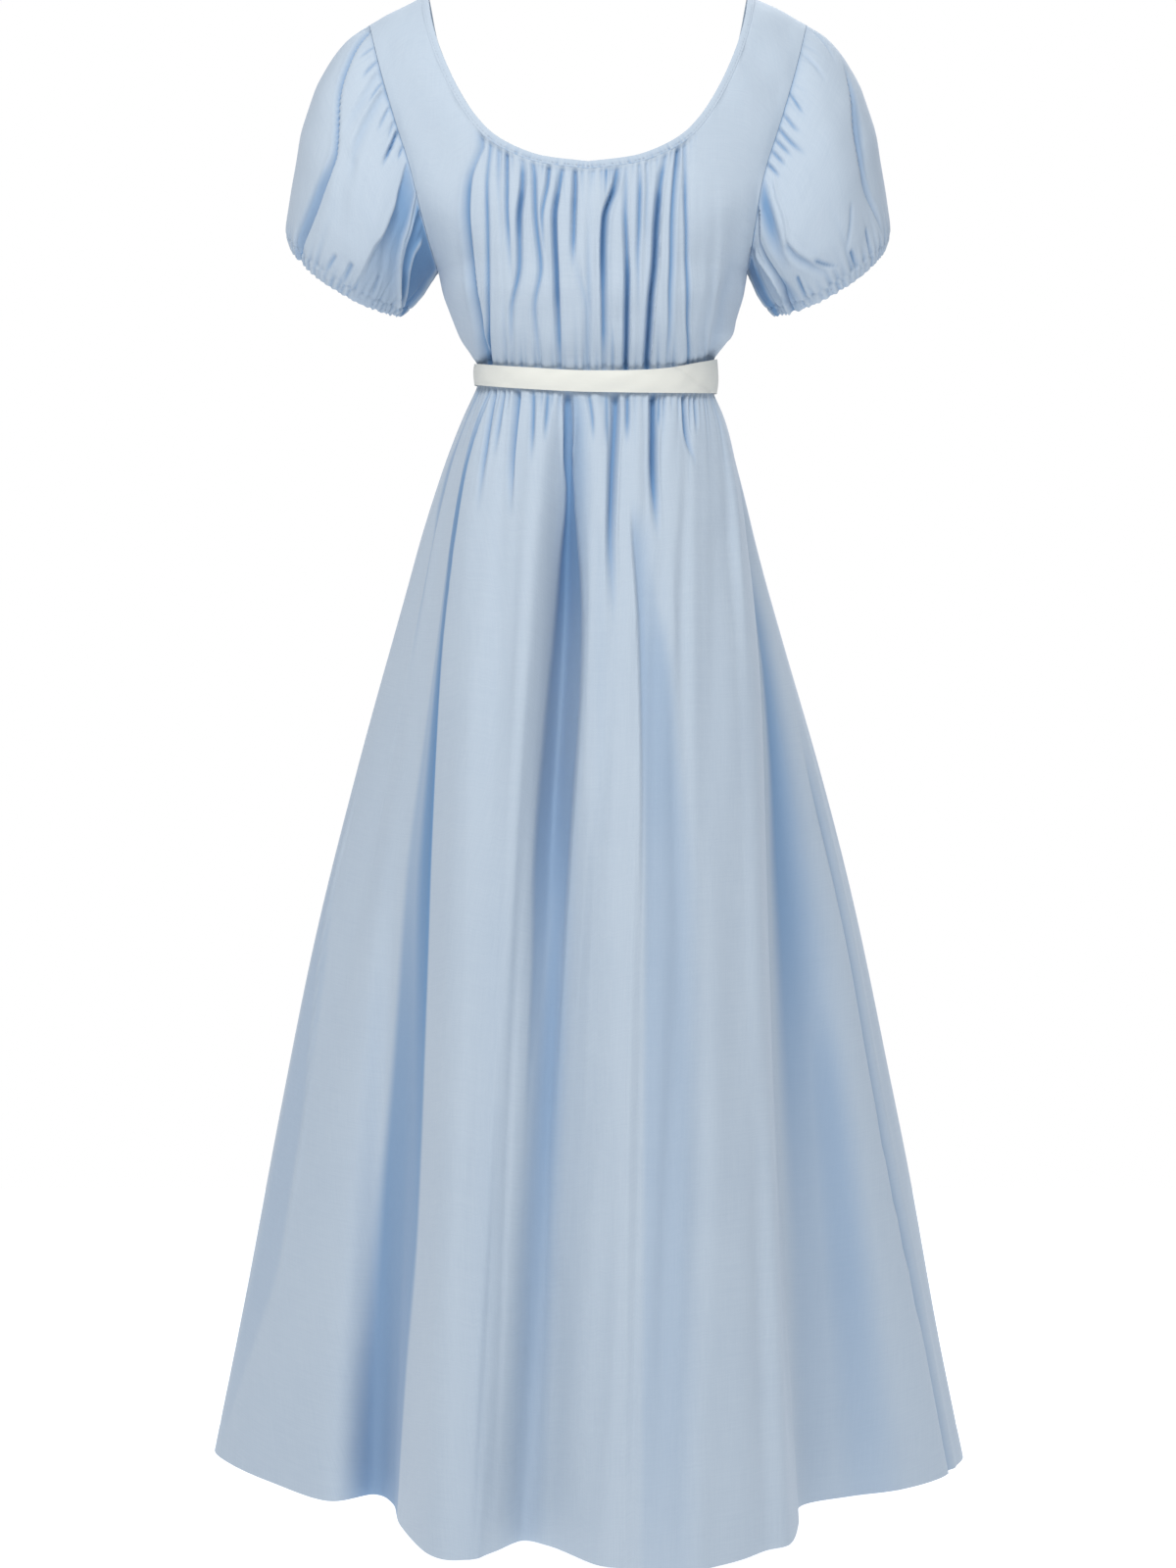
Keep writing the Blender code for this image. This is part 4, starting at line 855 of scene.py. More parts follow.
skirt = {
    "wall": 0.0009, "hemWall": 0.0016, "hemDeep": 0.028, "hemStep": 0.002,
    "stitchSink": 0.00025, "stitchWidth": 0.003,
    "columns": {front: 570, back: 360}, "rows": {front: 78, back: 70},
    # rows closer together below the belt and at the hem: even steps, and where they go
    "rowSteps": ((0, 0.3, 0.52, 0.9, 1), (0, 0.075, 0.21, 0.95, 1)),
    "hemZ": -1.325,
    "flareDown": (0, 0.028, 0.08, 0.19, 0.35, 0.52, 0.68, 0.85, 1),
    "flareShare": (0, 0.05, 0.12, 0.246, 0.43, 0.606, 0.74, 0.874, 1),
    "bowPeak": 9.48, "rightSeamFold": 22,
    # waist angle, hem x and y, bow x and y, places to the next row
    "folds": (
        (-90, -0.348, 0.008, 0, 0, 2),
        (-85, -0.328, -0.045, 0, 0, 2),
        (-80, -0.285, -0.11, 0, -0.004, 2),
        (-75, -0.228, -0.175, -0.004, -0.008, 2),
        (-71, -0.188, -0.15, -0.01, 0.014, 2),
        (-67, -0.17, -0.182, -0.014, 0.012, 2),
        (-61, -0.162, -0.25, -0.015, -0.002, 2),
        (-55, -0.139, -0.328, -0.01, -0.01, 4),
        (-40, -0.101, -0.366, 0, -0.008, 6),
        (-14, -0.078, -0.336, 0.007, -0.01, 2),
        (-9, -0.056, -0.302, 0.012, 0.018, 2),
        (-4, -0.034, -0.318, 0.016, -0.01, 4),
        (9, 0, -0.366, 0.008, -0.006, 8),
        (32, 0.054, -0.394, 0.002, -0.002, 8),
        (56, 0.108, -0.38, 0.004, -0.002, 4),
        (70, 0.148, -0.334, 0.012, 0, 4),
        (77, 0.175, -0.298, 0.02, 0, 2),
        (80.5, 0.18, -0.245, 0.023, 0.004, 2),
        (83, 0.188, -0.19, 0.02, 0.01, 2),
        (85, 0.232, -0.158, 0.006, 0.004, 2),
        (87, 0.28, -0.135, 0, 0, 2),
        (88.5, 0.322, -0.088, 0, 0, 2),
        (90, 0.345, -0.028, 0, 0, 4),
        (100, 0.337, 0.055, 0, 0.004, 4),
        (112, 0.297, 0.138, 0.002, 0.006, 4),
        (125, 0.246, 0.15, 0.004, -0.016, 4),
        (133, 0.231, 0.235, 0.006, -0.004, 4),
        (144, 0.179, 0.3, 0.004, 0.008, 4),
        (158, 0.119, 0.268, 0.004, -0.016, 4),
        (168, 0.073, 0.332, 0.004, 0.002, 4),
        (183, 0.006, 0.346, 0, 0.006, 4),
        (197, -0.054, 0.297, 0, -0.018, 4),
        (209, -0.109, 0.324, -0.002, 0.002, 4),
        (221, -0.181, 0.289, -0.004, 0.006, 4),
        (233, -0.212, 0.214, -0.006, -0.012, 4),
        (244, -0.27, 0.186, -0.002, 0.004, 4),
        (255, -0.318, 0.118, 0, 0.002, 2),
        (263, -0.338, 0.062, 0, -0.004, 2),
    ),
    # spacing, half width, depth, reach and how dark their painted shade is
    "gathers": (0.0074, 0.0009, 0.0034, 0.018, 0.85),
    # height and the wavelengths across and down
    "crumple": (0.0009, 0.024, 2), "waves": (0.0014, 5, 0.5),
    # fades, as shares of the height: the crumpling in and out, the waves in; at the sides, in places
    "crumpleFrom": 0.03, "crumpleTo": 0.4, "wavesFrom": 0.2, "sideFade": 0.9,
    "waistRadius": 0.1,
    # place along its line, where it starts and stops below the belt, mm deep and half wide, its sharper side
    "creases": (
        (14.4, 15.2, 15.4, 0, 0.12, 3.6, 1.9, 0),
        (16.6, 16.8, 16.8, 0, 0.07, 2.6, 1.5, 0.2),
        (19, 19.1, 19.6, 0, 0.12, 6.6, 1.8, 0.2),
        (21, 21.3, 21.6, 0, 0.07, 3.6, 1.5, 0),
        (22.7, 22.8, 22.9, 0, 0.05, 3.2, 1.5, -0.2),
        (25.8, 25.8, 25.9, 0, 0.1, 7, 2, 0),
        (28.8, 28.7, 28.6, 0, 0.05, 2.6, 1.3, 0),
        (30.1, 29.9, 29.9, 0, 0.06, 2.8, 1.5, 0),
        (31.2, 30.8, 31.5, 0, 0.22, 9.2, 2.7, 0.5),
        (32.6, 32.5, 32.5, 0, 0.05, 3, 1.3, 0),
        (37.2, 37.9, 39.4, 0, 0.14, 9.2, 2.1, 0.2),
        (38.2, 38.3, 38.3, 0, 0.04, 2.6, 1.3, 0),
        (43.8, 44.8, 47.4, 0, 0.07, 5.2, 1.6, 0.2),
        (46.7, 46.9, 46.9, 0, 0.04, 2.6, 1.5, 0),
        (1.6, 1.7, 2.4, 3, 3, 1.8, 0.34, 0.94, -2.2, 2.2, 0),
        (12, 12.4, 12.5, 0, 0.08, 4, 1.6, 0),
        (33.6, 36.3, 37.3, 37.6, 0.09, 0.5, 6.4, 5.2, -0.7),
        (37.4, 37.3, 37.2, 0.3, 1.4, 4.6, 11, -0.7),
        (39.1, 41.8, 43.2, 44.4, 0.13, 0.62, 3, 8, 0.5),
        (50.7, 49.2, 47.6, 0.1, 0.42, 3, 9, 0),
        (29, 29.6, 30.6, 0.1, 0.42, 3, 5, 0),
        (18.6, 19.4, 20.4, 0.2, 0.75, 2.6, 11, 0),
        (66.2, 66, 66.5, 66.4, 0.3, 1.2, 6.2, 4.2, -0.6),
    ),
    "hiddenCreases": (
        (76, 76.8, 77.5, 0, 0.16, 5.6, 2, 0.2),
        (84.5, 85, 86, 0, 0.1, 4, 1.7, 0),
        (88.6, 88.4, 88, 0, 0.08, 3.4, 1.6, 0),
        (93, 93.4, 94.6, 0, 0.2, 6, 2.1, -0.3),
        (97.5, 97.6, 98, 0, 0.07, 3.2, 1.6, 0),
        (101, 100.8, 100, 0, 0.12, 4.4, 1.8, 0),
        (109.5, 109, 108, 0, 0.18, 5.8, 2, 0.3),
        (118, 117.2, 116, 0, 0.11, 4, 1.7, 0),
        (96, 97.5, 99, 0.12, 0.8, 5, 8, -0.5),
        (112, 111, 110, 0.15, 0.7, 4, 8, 0.5),
    ),
    # softness of a hollow's two edges, then by height below the belt its edges, mm deep and its painted shade
    "hollows": (
        (0.14, 0.12, (
            (0.04, 25.7, 26.1, 0, 0.85), (0.1, 25.6, 26.8, 4, 1.05), (0.16, 25.2, 27.5, 9, 0.94),
            (0.22, 24.9, 27.9, 10, 0.74), (0.29, 24.6, 28.1, 10, 0.62), (0.4, 24.4, 28, 7, 0.66),
            (0.52, 24.9, 28, 3, 0.44), (0.66, 25, 27.9, 0, 0.1), (0.8, 25, 27.6, 0, 0))),
        (0.5, 0.5, (
            (0.4, 24.6, 28.8, 0, 0.5), (0.5, 24.8, 29, 0, 0.64), (0.6, 24.8, 29.2, 0, 0.66),
            (0.75, 24.4, 28.9, 0, 0.48), (0.9, 24.2, 28.4, 0, 0.28), (0.98, 24.2, 28.2, 0, 0.18))),
        (0.5, 0.45, (
            (0.34, 23.4, 27.2, 0, 0), (0.48, 23.4, 27.4, -9, 0), (0.6, 23.4, 27.4, -14, 0),
            (0.75, 23.4, 27.4, -12, 0), (0.9, 23.4, 27.2, -6, 0), (0.98, 23.4, 27.2, 0, 0))),
        (0.5, 0.5, (
            (0.34, 26.4, 30, 0, 0), (0.48, 26.4, 30.4, 7, 0), (0.6, 26.4, 30.6, 8, 0),
            (0.75, 26.4, 30, 3, 0), (0.9, 26.4, 30, 0, 0))),
        (0.5, 0.5, (
            (0.35, 15.6, 23.4, 0, 0), (0.5, 15.4, 24.4, 6, 0.05), (0.75, 15.4, 24.6, 10, 0.08),
            (0.97, 15.6, 24.4, 10, 0.06))),
        (0.4, 0.4, (
            (0, 24, 28, 0, 0), (0.03, 24, 28.2, -5, 0), (0.08, 24, 28.2, -8, 0), (0.14, 24.2, 28.2, -4, 0),
            (0.2, 24.2, 28.2, 0, 0))),
        (0.25, 0.08, (
            (0.13, 11.4, 13.1, 0, 0.6), (0.25, 10.2, 12.6, 0, 0.4), (0.41, 8.8, 12.4, 0, 0.42),
            (0.52, 8.4, 12.5, 0, 0.66), (0.61, 8, 12.5, 0, 0.78), (0.73, 7.2, 12.5, 0, 0.82),
            (0.87, 6.6, 12, 0, 0.76), (0.97, 6.3, 11.6, 0, 0.72))),
        (0.9, 0.06, (
            (0.01, 12.6, 13.7, 0, 0.4), (0.06, 11.8, 13.2, 0, 0.95), (0.13, 11.4, 13.1, 0, 1.25),
            (0.25, 10.2, 12.6, 0, 1.25), (0.41, 9.2, 12.4, 0, 1.2), (0.52, 8.8, 12.5, 0, 1.05),
            (0.61, 8, 12.5, 0, 0.9), (0.73, 7.4, 12.5, 0, 0.8), (0.87, 6.8, 12, 0, 0.5),
            (0.97, 6.5, 11.6, 0, 0.36))),
        (0.5, 0.5, (
            (0, 4.6, 6.6, 0, 0.36), (0.04, 3.5, 5.5, 0, 0.66), (0.07, 2.6, 4.6, 0, 0.66),
            (0.11, 2.9, 4.7, 0, 0.62), (0.14, 3.7, 5.4, 0, 0.56), (0.2, 4.5, 6.1, 0, 0.25),
            (0.26, 4.9, 6.4, 0, 0))),
        (0.4, 0.14, (
            (0.34, 0, 1.6, 0, 0), (0.44, 0, 1.8, 0, 0.2), (0.54, 0, 2.7, 0, 0.22), (0.66, 0, 3, 0, 0.22),
            (0.78, 0, 3, 0, 0.2), (0.92, 0, 1.6, 0, 0.12), (0.98, 0, 1, 0, 0))),
        (0.5, 0.5, (
            (0.12, 38, 50, 0, 0), (0.25, 37.4, 51.5, 6, 0), (0.43, 37.2, 53, 12, 0),
            (0.6, 37.4, 52.4, 13, 0), (0.75, 37.6, 51.6, 12, 0), (0.88, 37.6, 51, 8, 0),
            (0.98, 37.6, 51, 3, 0))),
        (0.16, 0.42, (
            (0.12, 35, 37.4, 0, 0), (0.18, 35.4, 40.4, 0, 0.26), (0.26, 36.1, 44, 0, 0.42),
            (0.34, 36.7, 45.6, 0, 0.4), (0.43, 37.2, 47.6, 0, 0.32), (0.6, 37.5, 48, 0, 0.28),
            (0.75, 37.6, 47.4, 0, 0.24), (0.9, 37.6, 46.8, 0, 0.18), (0.98, 37.6, 46.6, 0, 0.12))),
        (0.2, 0.8, (
            (0.15, 63.4, 65.4, 0, 0.1), (0.21, 63, 66, 2, 0.6), (0.32, 61.2, 66, 6, 0.85),
            (0.44, 60.1, 66, 8, 0.82), (0.6, 59.9, 65.4, 7, 0.55), (0.76, 59.8, 65.6, 4, 0.3),
            (0.97, 59.4, 65.6, 0, 0.14))),
        (0.5, 0.45, (
            (0.48, 60.4, 64.8, 0, 0), (0.62, 60.6, 65, 2, 0.48), (0.8, 60.8, 64.9, 3, 0.42),
            (0.97, 60.4, 64.8, 0, 0.26))),
    ),
    "hiddenHollows": (
        (0.5, 0.5, (
            (0.12, 79.2, 80.8, 0, 0.2), (0.5, 78.6, 81.6, 4, 0.55), (0.97, 78.4, 81.8, 0, 0.35))),
        (0.3, 0.7, (
            (0.14, 91, 93, 0, 0.25), (0.45, 90.4, 93.6, 6, 0.65), (0.97, 90.4, 94, 0, 0.3))),
        (0.7, 0.3, (
            (0.16, 103, 105, 0, 0.2), (0.55, 102.4, 105.4, 6, 0.6), (0.97, 102.2, 105.6, 0, 0.35))),
        (0.5, 0.5, (
            (0.12, 115.2, 117, 0, 0.2), (0.5, 114.6, 117.6, 4, 0.5), (0.97, 114.4, 117.8, 0, 0.3))),
    ),
    # the pocket of the left fold is drawn flatter: its two edges, their softness, by height how much flatter
    # the hollows' painted shade stands in for the depth it loses
    "flattened": (3.5, 12.6, 0.2, 0.06, (0, 0.4, 0.55, 0.75, 0.97), (1, 0.95, 0.65, 0.38, 0.05)),
}


# the waist's superellipse: x = half*sin(a)**(2/n), y = -depth*cos(a)**(2/n)
def waistRing(angle):
    turn, power = np.radians(angle), 2 / figure["bodyPower"]
    x = figure["waistHalf"] * signedPower(np.sin(turn), power)
    y = -figure["waistDepth"] * signedPower(np.cos(turn), power)
    return np.stack([x, y], axis=-1)


# waist ring and hem folds blended by the flare, with a bow between them: bow*s*(1 - s)**3
def skirtPoint(place, down):
    folds = np.array(skirt["folds"], float)
    total = folds[:, 5].sum()
    stations = np.concatenate([[0.0], np.cumsum(folds[:-1, 5])])
    even = stations * 360 / total
    angle = roundRing(stations, folds[:, 0] - even, total, place) + place * 360 / total
    hemX, hemY, bowX, bowY = [roundRing(stations, column, total, place) for column in folds[:, 1:5].T]
    ring = waistRing(angle)
    top = waistSeamZ(angle) - figure["seamGap"] / 2
    height = top - skirt["hemZ"]
    underBelt = (top - beltEdge("beltBottom", angle) + figure["beltMargin"]) / height
    below = np.clip((down - underBelt) / (1 - underBelt), 0, 1)
    share = through(skirt["flareDown"], skirt["flareShare"], below)
    bow = skirt["bowPeak"] * share * (1 - share) ** 3
    z = top - down * height
    x = ring[..., 0] + (hemX - ring[..., 0]) * share + bow * bowX + middleX(z)
    y = ring[..., 1] + (hemY - ring[..., 1]) * share + bow * bowY
    return np.stack([x, y, z], axis=-1), underBelt, angle


# folds, gathers and a little crumpling of one skirt piece, added to the shade of its hollows
def skirtRelief(side, place, below, angle, scale, shade):
    rows = skirt["creases" if side == front else "hiddenCreases"]
    relief, shade = addFolds(rows, place, below, scale, np.zeros_like(shade), shade)
    around, fromBelt = np.radians(angle) * skirt["waistRadius"], np.maximum(below, 0)
    relief, shade = addGathers(skirt["gathers"], around, fromBelt, 1.0, 21 + side, relief, shade)
    fading = smoothStep(below / skirt["crumpleFrom"]) * np.exp(-fromBelt / skirt["crumpleTo"])
    relief += unevenWaves(skirt["crumple"], around, below, 24 + side) * fading
    relief += unevenWaves(skirt["waves"], place, below, 27 + side) * smoothStep(below / skirt["wavesFrom"])
    atBelt = smoothStep((below + 0.004) / 0.010)
    return relief * atBelt, shade * atBelt


# a stretch of the front pulled towards the straight line between its edges: P += share*(A + (B - A)*t - P)
def flatten(points, place, down, below):
    low, high, softLow, softHigh, at, shares = skirt["flattened"]
    t = (place - low) / (high - low)
    share = through(at, shares, below) * smoothStep(t / softLow) * smoothStep((1 - t) / softHigh)
    lineA, lineB = [skirtPoint(np.full_like(down[:, :1], edge), down[:, :1])[0] for edge in (low, high)]
    return points + share[..., None] * (lineA + (lineB - lineA) * t[..., None] - points)


# one skirt piece: its points moved back into hollows and out along the normals by the relief, its hem doubled
def makeSkirt(side):
    steps = np.array(skirt["folds"], float)[:, 5]
    total, split = steps.sum(), steps[: skirt["rightSeamFold"]].sum()
    start, stop = (0.0, split) if side == front else (split, total)
    rows, columns = skirt["rows"][side], skirt["columns"][side]
    place = np.broadcast_to(np.linspace(start, stop, columns), (rows, columns))
    down = np.interp(np.linspace(0, 1, rows), *skirt["rowSteps"])[:, None] * np.ones((1, columns))
    points, underBelt, angle = skirtPoint(place, down)
    below = down - underBelt
    if side == front:
        points = flatten(points, place, down, below)
    fade = skirt["sideFade"]
    inside = smoothStep((place - start) / fade) * smoothStep((stop - place) / fade)
    setBack, dark = hollows(skirt["hollows" if side == front else "hiddenHollows"], place, below)
    points[..., 1] += side * setBack * inside
    normals = unit(gridNormals(points, points * [1, 1, 0]) * [1, 1, 0.3])
    scale = np.linalg.norm(np.gradient(points, axis=1), axis=-1) / (place[0, 1] - place[0, 0])
    relief, paintedShade = skirtRelief(side, place, below, angle, scale, dark)
    outer = points + normals * (relief * inside)[..., None]
    seam = unit(np.gradient(outer, axis=1)) * figure["seamGap"] / 2
    outer[:, 0] += seam[:, 0]
    outer[:, -1] -= seam[:, -1]
    # the hem's stitch line sinks in a little
    fromStitch = points[..., 2] - skirt["hemZ"] - skirt["hemDeep"]
    thick = skirt["hemWall"] + (skirt["wall"] - skirt["hemWall"]) * smoothStep(fromStitch / skirt["hemStep"])
    outer -= normals * (skirt["stitchSink"] * np.exp(-(fromStitch / skirt["stitchWidth"]) ** 2))[..., None]
    name = "skirtFrontCloth" if side == front else "skirtBackCloth"
    return clothShell(name, outer, outer - normals * thick[..., None], normals, paintedShade * inside, blueCloth)


skirtFront, skirtBack = makeSkirt(front), makeSkirt(back)
print("skirt made")

sleeve = {
    "wall": 0.0009, "columns": 500, "rows": 64,
    "cuffOuter": (0.271, -0.212), "cuffInner": (0.17, -0.2755), "cuffDepth": 0.056,
    "cuffTilt": math.radians(15), "cuffBackRise": 0.012, "casing": 0.01, "gap": 0.00042,
    # how far the puff stands out along the sleeve: over the top, at the sides and under the arm
    "along": (0, 0.06, 0.12, 0.22, 0.35, 0.5, 0.66, 0.83, 0.95, 1),
    "over": (0, 0.01, 0.0165, 0.0227, 0.0265, 0.026, 0.0206, 0.0141, 0.008, 0),
    "side": (0, 0.005, 0.01, 0.017, 0.024, 0.0275, 0.026, 0.0185, 0.008, 0),
    "under": (0, 0, 0.0005, 0.001, 0.002, 0.003, 0.003, 0.002, 0.001, 0),
    "stitch": 0.0024, "stitchGap": 0.0012, "thread": 0.0004,
    "stitchSink": 0.0007, "stitchWidth": 0.0012, "radius": 0.06,
    # spacing, half width, depth, reach and how dark their painted shade is
    "capGathers": (0.0052, 0.0008, 0.0013, 0.008, 0.35),
    "cuffGathers": (0.0074, 0.0015, 0.0042, 0.012, 0.85),
    "casingGathers": (0.006, 0.0013, 0.0026, 1, 0.75),
    # height and the wavelengths round and along
    "crumple": (0.0009, 0.05, 1.2), "scallops": (0.0009, 0.009, 1),
    # degrees from the underarm along its line, its start and stop, mm deep and half wide, its sharper side
    "creases": {
        left: (
            (164, 152, 143, 130, 123, 122, 122, 123.5, 127, 131, 134, 0, 1.1, 5.2, 2.2, -0.45),
            (173, 171, 0, 0.07, 5, 1.4, 0),
            (150, 148, 0, 0.08, 1.5, 1.1, 0),
            (141, 137, 0, 0.1, 2, 1.2, 0.2),
            (134, 129, 127, 125, 0, 0.35, 2.4, 3.4, 0.3),
            (128, 124, 0, 0.12, 1.8, 1.1, 0),
            (123, 120, 118, 115, 110, 105, 0, 0.5, 3, 3.6, 0.3),
            (116, 112, 106, 102, 0.3, 0.75, 2, 6, 0),
            (114, 109, 0, 0.14, 1.8, 1.2, 0),
            (106, 102, 0, 0.09, 1.6, 1.1, 0),
            (100, 98, 97, 96, 0, 0.22, 5.2, 1.3, -0.3),
            (92, 90, 0, 0.09, 2.2, 1.1, 0),
            (68, 61, 56, 49.5, 41, 31, 22, 14, 0, 1.05, -3.6, 1.5, 0),
            (57, 54, 50, 44, 36, 27, 19, 13, 0, 1.05, 4, 2.4, 0.2),
            (46, 46, 42, 33, 25, 17, 10, 0.04, 1.05, -3, 2.2, 0),
            (72, 70, 66, 60, 52, 0.2, 0.8, 3, 4, 0),
            (86, 85, 0.76, 0.97, 2.6, 1.6, 0),
            (98, 101, 0.8, 0.97, 2.2, 1.4, 0),
            (60, 56, 0.66, 0.97, 2.6, 1.8, 0),
        ),
        right: (
            (174, 172, 0, 0.06, 2.6, 1.1, 0),
            (169, 163, 154, 0.02, 0.18, 1.8, 2.2, 0.3),
            (146, 141, 0, 0.16, 1.4, 1.8, 0),
            (121, 119, 118, 0, 0.13, 2.4, 1.2, 0.2),
            (109, 109, 111, 0, 0.16, 2.2, 1.2, 0),
            (101, 102, 104, 107, 0, 0.26, 2.6, 1.3, 0),
            (95, 97, 99, 0, 0.18, 2.4, 1.2, 0),
            (89, 91, 93, 0, 0.17, 2.4, 1.2, 0),
            (82, 84, 86, 0, 0.16, 2.6, 1.2, 0),
            (166, 153, 142, 136, 133, 136.5, 141, 145, 0.18, 1, 5.2, 1.8, -0.5),
            (60, 45, 44, 45, 46, 45.5, 42, 40, 38, 0, 1.05, 6, 2, 0.3),
            (38, 37, 39, 41, 39.5, 36, 34, 0.04, 1.05, -3.6, 1.4, 0),
            (34, 27, 24.5, 23, 21, 18, 15, 0, 1.05, 4.6, 2.6, 0),
            (84, 78, 76, 71, 73, 79, 86, 0.05, 0.8, -1.8, 2, 0),
            (66, 69, 75, 82, 88, 0.4, 0.95, 3, 2.4, 0.4),
            (80, 84, 90, 98, 0.7, 0.88, 2.6, 1.4, 0),
            (118, 112, 105, 100, 0.62, 0.86, 1.8, 1.6, 0),
            (106, 107, 0.82, 0.98, 3.4, 1.2, 0),
            (124, 122, 0.8, 0.98, 3, 1.2, 0),
            (62, 60, 58, 0.66, 0.98, 3, 1.4, 0),
        ),
    },
    # softness of the two edges, then along the sleeve the hollow's edges in degrees, mm deep and its painted
    # shade
    "hollows": {
        left: (
            (0.35, 0.12, (
                (0, 60, 87, 0, 0.5), (0.08, 56, 83.5, 3, 0.8), (0.16, 54, 81, 5, 0.92),
                (0.27, 50, 76.5, 7, 0.86), (0.41, 44, 75.5, 8, 0.64), (0.57, 36, 78, 6, 0.44),
                (0.76, 24, 77.5, 4, 0.28), (1, 14, 76, 0, 0.2))),
            (0.3, 0.1, (
                (0, 0, 67, 0, 1.1), (0.15, 0, 59, 1, 1.38), (0.3, 0, 54, 2, 1.45), (0.45, 0, 47, 2, 1.45),
                (0.6, 0, 38.5, 2, 1.42), (0.75, 0, 28, 2, 1.35), (1, 0, 13, 0, 1.2))),
            (0.12, 0.65, (
                (0.38, 122.5, 125, 0, 0), (0.5, 121.5, 129, 1, 0.5), (0.62, 121.5, 132, 1, 0.65),
                (0.76, 122.5, 136, 1, 0.65), (0.9, 127, 142, 1, 0.6), (1, 131, 146, 0, 0.4))),
        ),
        right: (
            (0.5, 0.4, (
                (0, 56, 80, 0, 0.5), (0.08, 52, 76, 3, 0.95), (0.18, 50, 73, 4, 0.9),
                (0.28, 49, 70, 4, 0.6), (0.42, 50, 66, 2, 0.25), (0.6, 52, 64, 0, 0))),
            (0.1, 0.7, (
                (0.45, 44, 46, 0, 0), (0.6, 45, 52, 1, 0.7), (0.75, 43, 57, 1, 0.65),
                (0.9, 40, 58, 0, 0.45), (1, 38, 54, 0, 0.3))),
            (0.5, 0.2, (
                (0, 0, 34, 0, 1), (0.14, 0, 28, 0, 1.2), (0.5, 0, 23, 0, 1.2), (1, 0, 15, 0, 0.9))),
            (0.3, 0.3, (
                (0, 26, 40, 0, 0.4), (0.3, 24, 40, 0, 0.35), (0.6, 22, 41, 0, 0.3), (1, 16, 38, 0, 0.2))),
            (0.15, 0.7, (
                (0.18, 165, 170, 0, 0), (0.31, 152, 160, 1, 0.5), (0.43, 141.5, 153, 1, 0.6),
                (0.53, 136, 146, 1, 0.55), (0.65, 133, 141, 1, 0.4), (0.8, 137, 142, 0, 0.2),
                (0.95, 143, 147, 0, 0))),
        ),
    },
}


# points round the armhole edge: up its front from the underarm to the shoulder, and down its back
def armholeLoop(hand, columns):
    column = 0 if hand == left else -1
    underarm = figure["underarmZ"]
    loop = []
    for side, count in ((front, columns // 2), (back, columns - columns // 2)):
        line = bodicePoints[side][:, column]
        line = line[line[:, 2] >= underarm - 0.001].copy()
        line[0, 2], line[0, 0] = underarm, hand * float(armholeX(underarm)) + float(middleX(underarm))
        line[[0, -1], 1] = 0.0
        length = runLength(line)
        points = alongLine(np.linspace(0, length[-1], count + 1), length, line)
        loop.append(points[:-1] if side == front else points[:0:-1])
    return np.concatenate(loop)


# an ellipse that faces down and out, its front and back tipped lower by |sin t|**1.3
def cuffLoop(hand, turn):
    outer, inner = np.array(sleeve["cuffOuter"]), np.array(sleeve["cuffInner"])
    middle, reach = (outer + inner) / 2, (outer - inner) / 2
    down = unit(np.array([reach[1], -reach[0]])) * sleeve["cuffDepth"] * math.sin(sleeve["cuffTilt"])
    dip = np.abs(np.sin(turn)) ** 1.3
    x = middle[0] - reach[0] * np.cos(turn) + down[0] * dip
    y = -sleeve["cuffDepth"] * np.sin(turn)
    z = middle[1] - reach[1] * np.cos(turn) + down[1] * dip
    z += sleeve["cuffBackRise"] * np.maximum(-np.sin(turn), 0)
    return np.stack([hand * x, y, z], axis=-1)


# straight lines from the armhole to the cuff, puffed outwards by the tables
def sleeveGrid(hand):
    columns = sleeve["columns"]
    turn = np.linspace(0, 2 * math.pi, columns, endpoint=False)
    start, end = armholeLoop(hand, columns), cuffLoop(hand, turn)
    length = np.linalg.norm(end - start, axis=-1)
    w = np.linspace(0, 1, sleeve["rows"])
    w = (w - 0.05 * np.sin(2 * math.pi * w))[:, None] * np.ones((1, columns))
    run = unit(end - start)
    spoke = unit(start - start.mean(axis=0)) + unit(end - end.mean(axis=0))
    spoke[:, 0] = hand * np.maximum(hand * spoke[:, 0], 0.0)
    spoke = unit(spoke - run * np.sum(spoke * run, axis=-1, keepdims=True))
    upper = (1 - np.cos(turn)) / 2
    over, under = smoothStep(2 * upper - 1), smoothStep(1 - 2 * upper)
    parts = ("over", over), ("under", under), ("side", 1 - over - under)
    puff = sum(share * through(sleeve["along"], sleeve[part], w) for part, share in parts)
    points = start + (end - start) * w[..., None] + spoke * puff[..., None]
    points[0] += unit(points[1] - points[0]) * (sleeve["gap"] + sleeve["gap"] * under)[:, None]
    middle = start.mean(axis=0) * (1 - w[..., None]) + end.mean(axis=0) * w[..., None]
    return points, points - middle, turn, upper, w, length


# folds of the shown half of a sleeve, fading at its shoulder and underarm lines
def halfSleeveFolds(hand, degrees, w, scale):
    relief, shade = hollows(sleeve["hollows"][hand], degrees, w)
    relief, shade = addFolds(sleeve["creases"][hand], degrees, w, scale, relief, shade)
    atShoulder, atUnderarm = smoothStep((180 - degrees) / 7), smoothStep(degrees / 7)
    relief = relief * atShoulder * atUnderarm * (1 - 0.5 * smoothStep((w - 0.86) / 0.14))
    return relief, shade * atShoulder


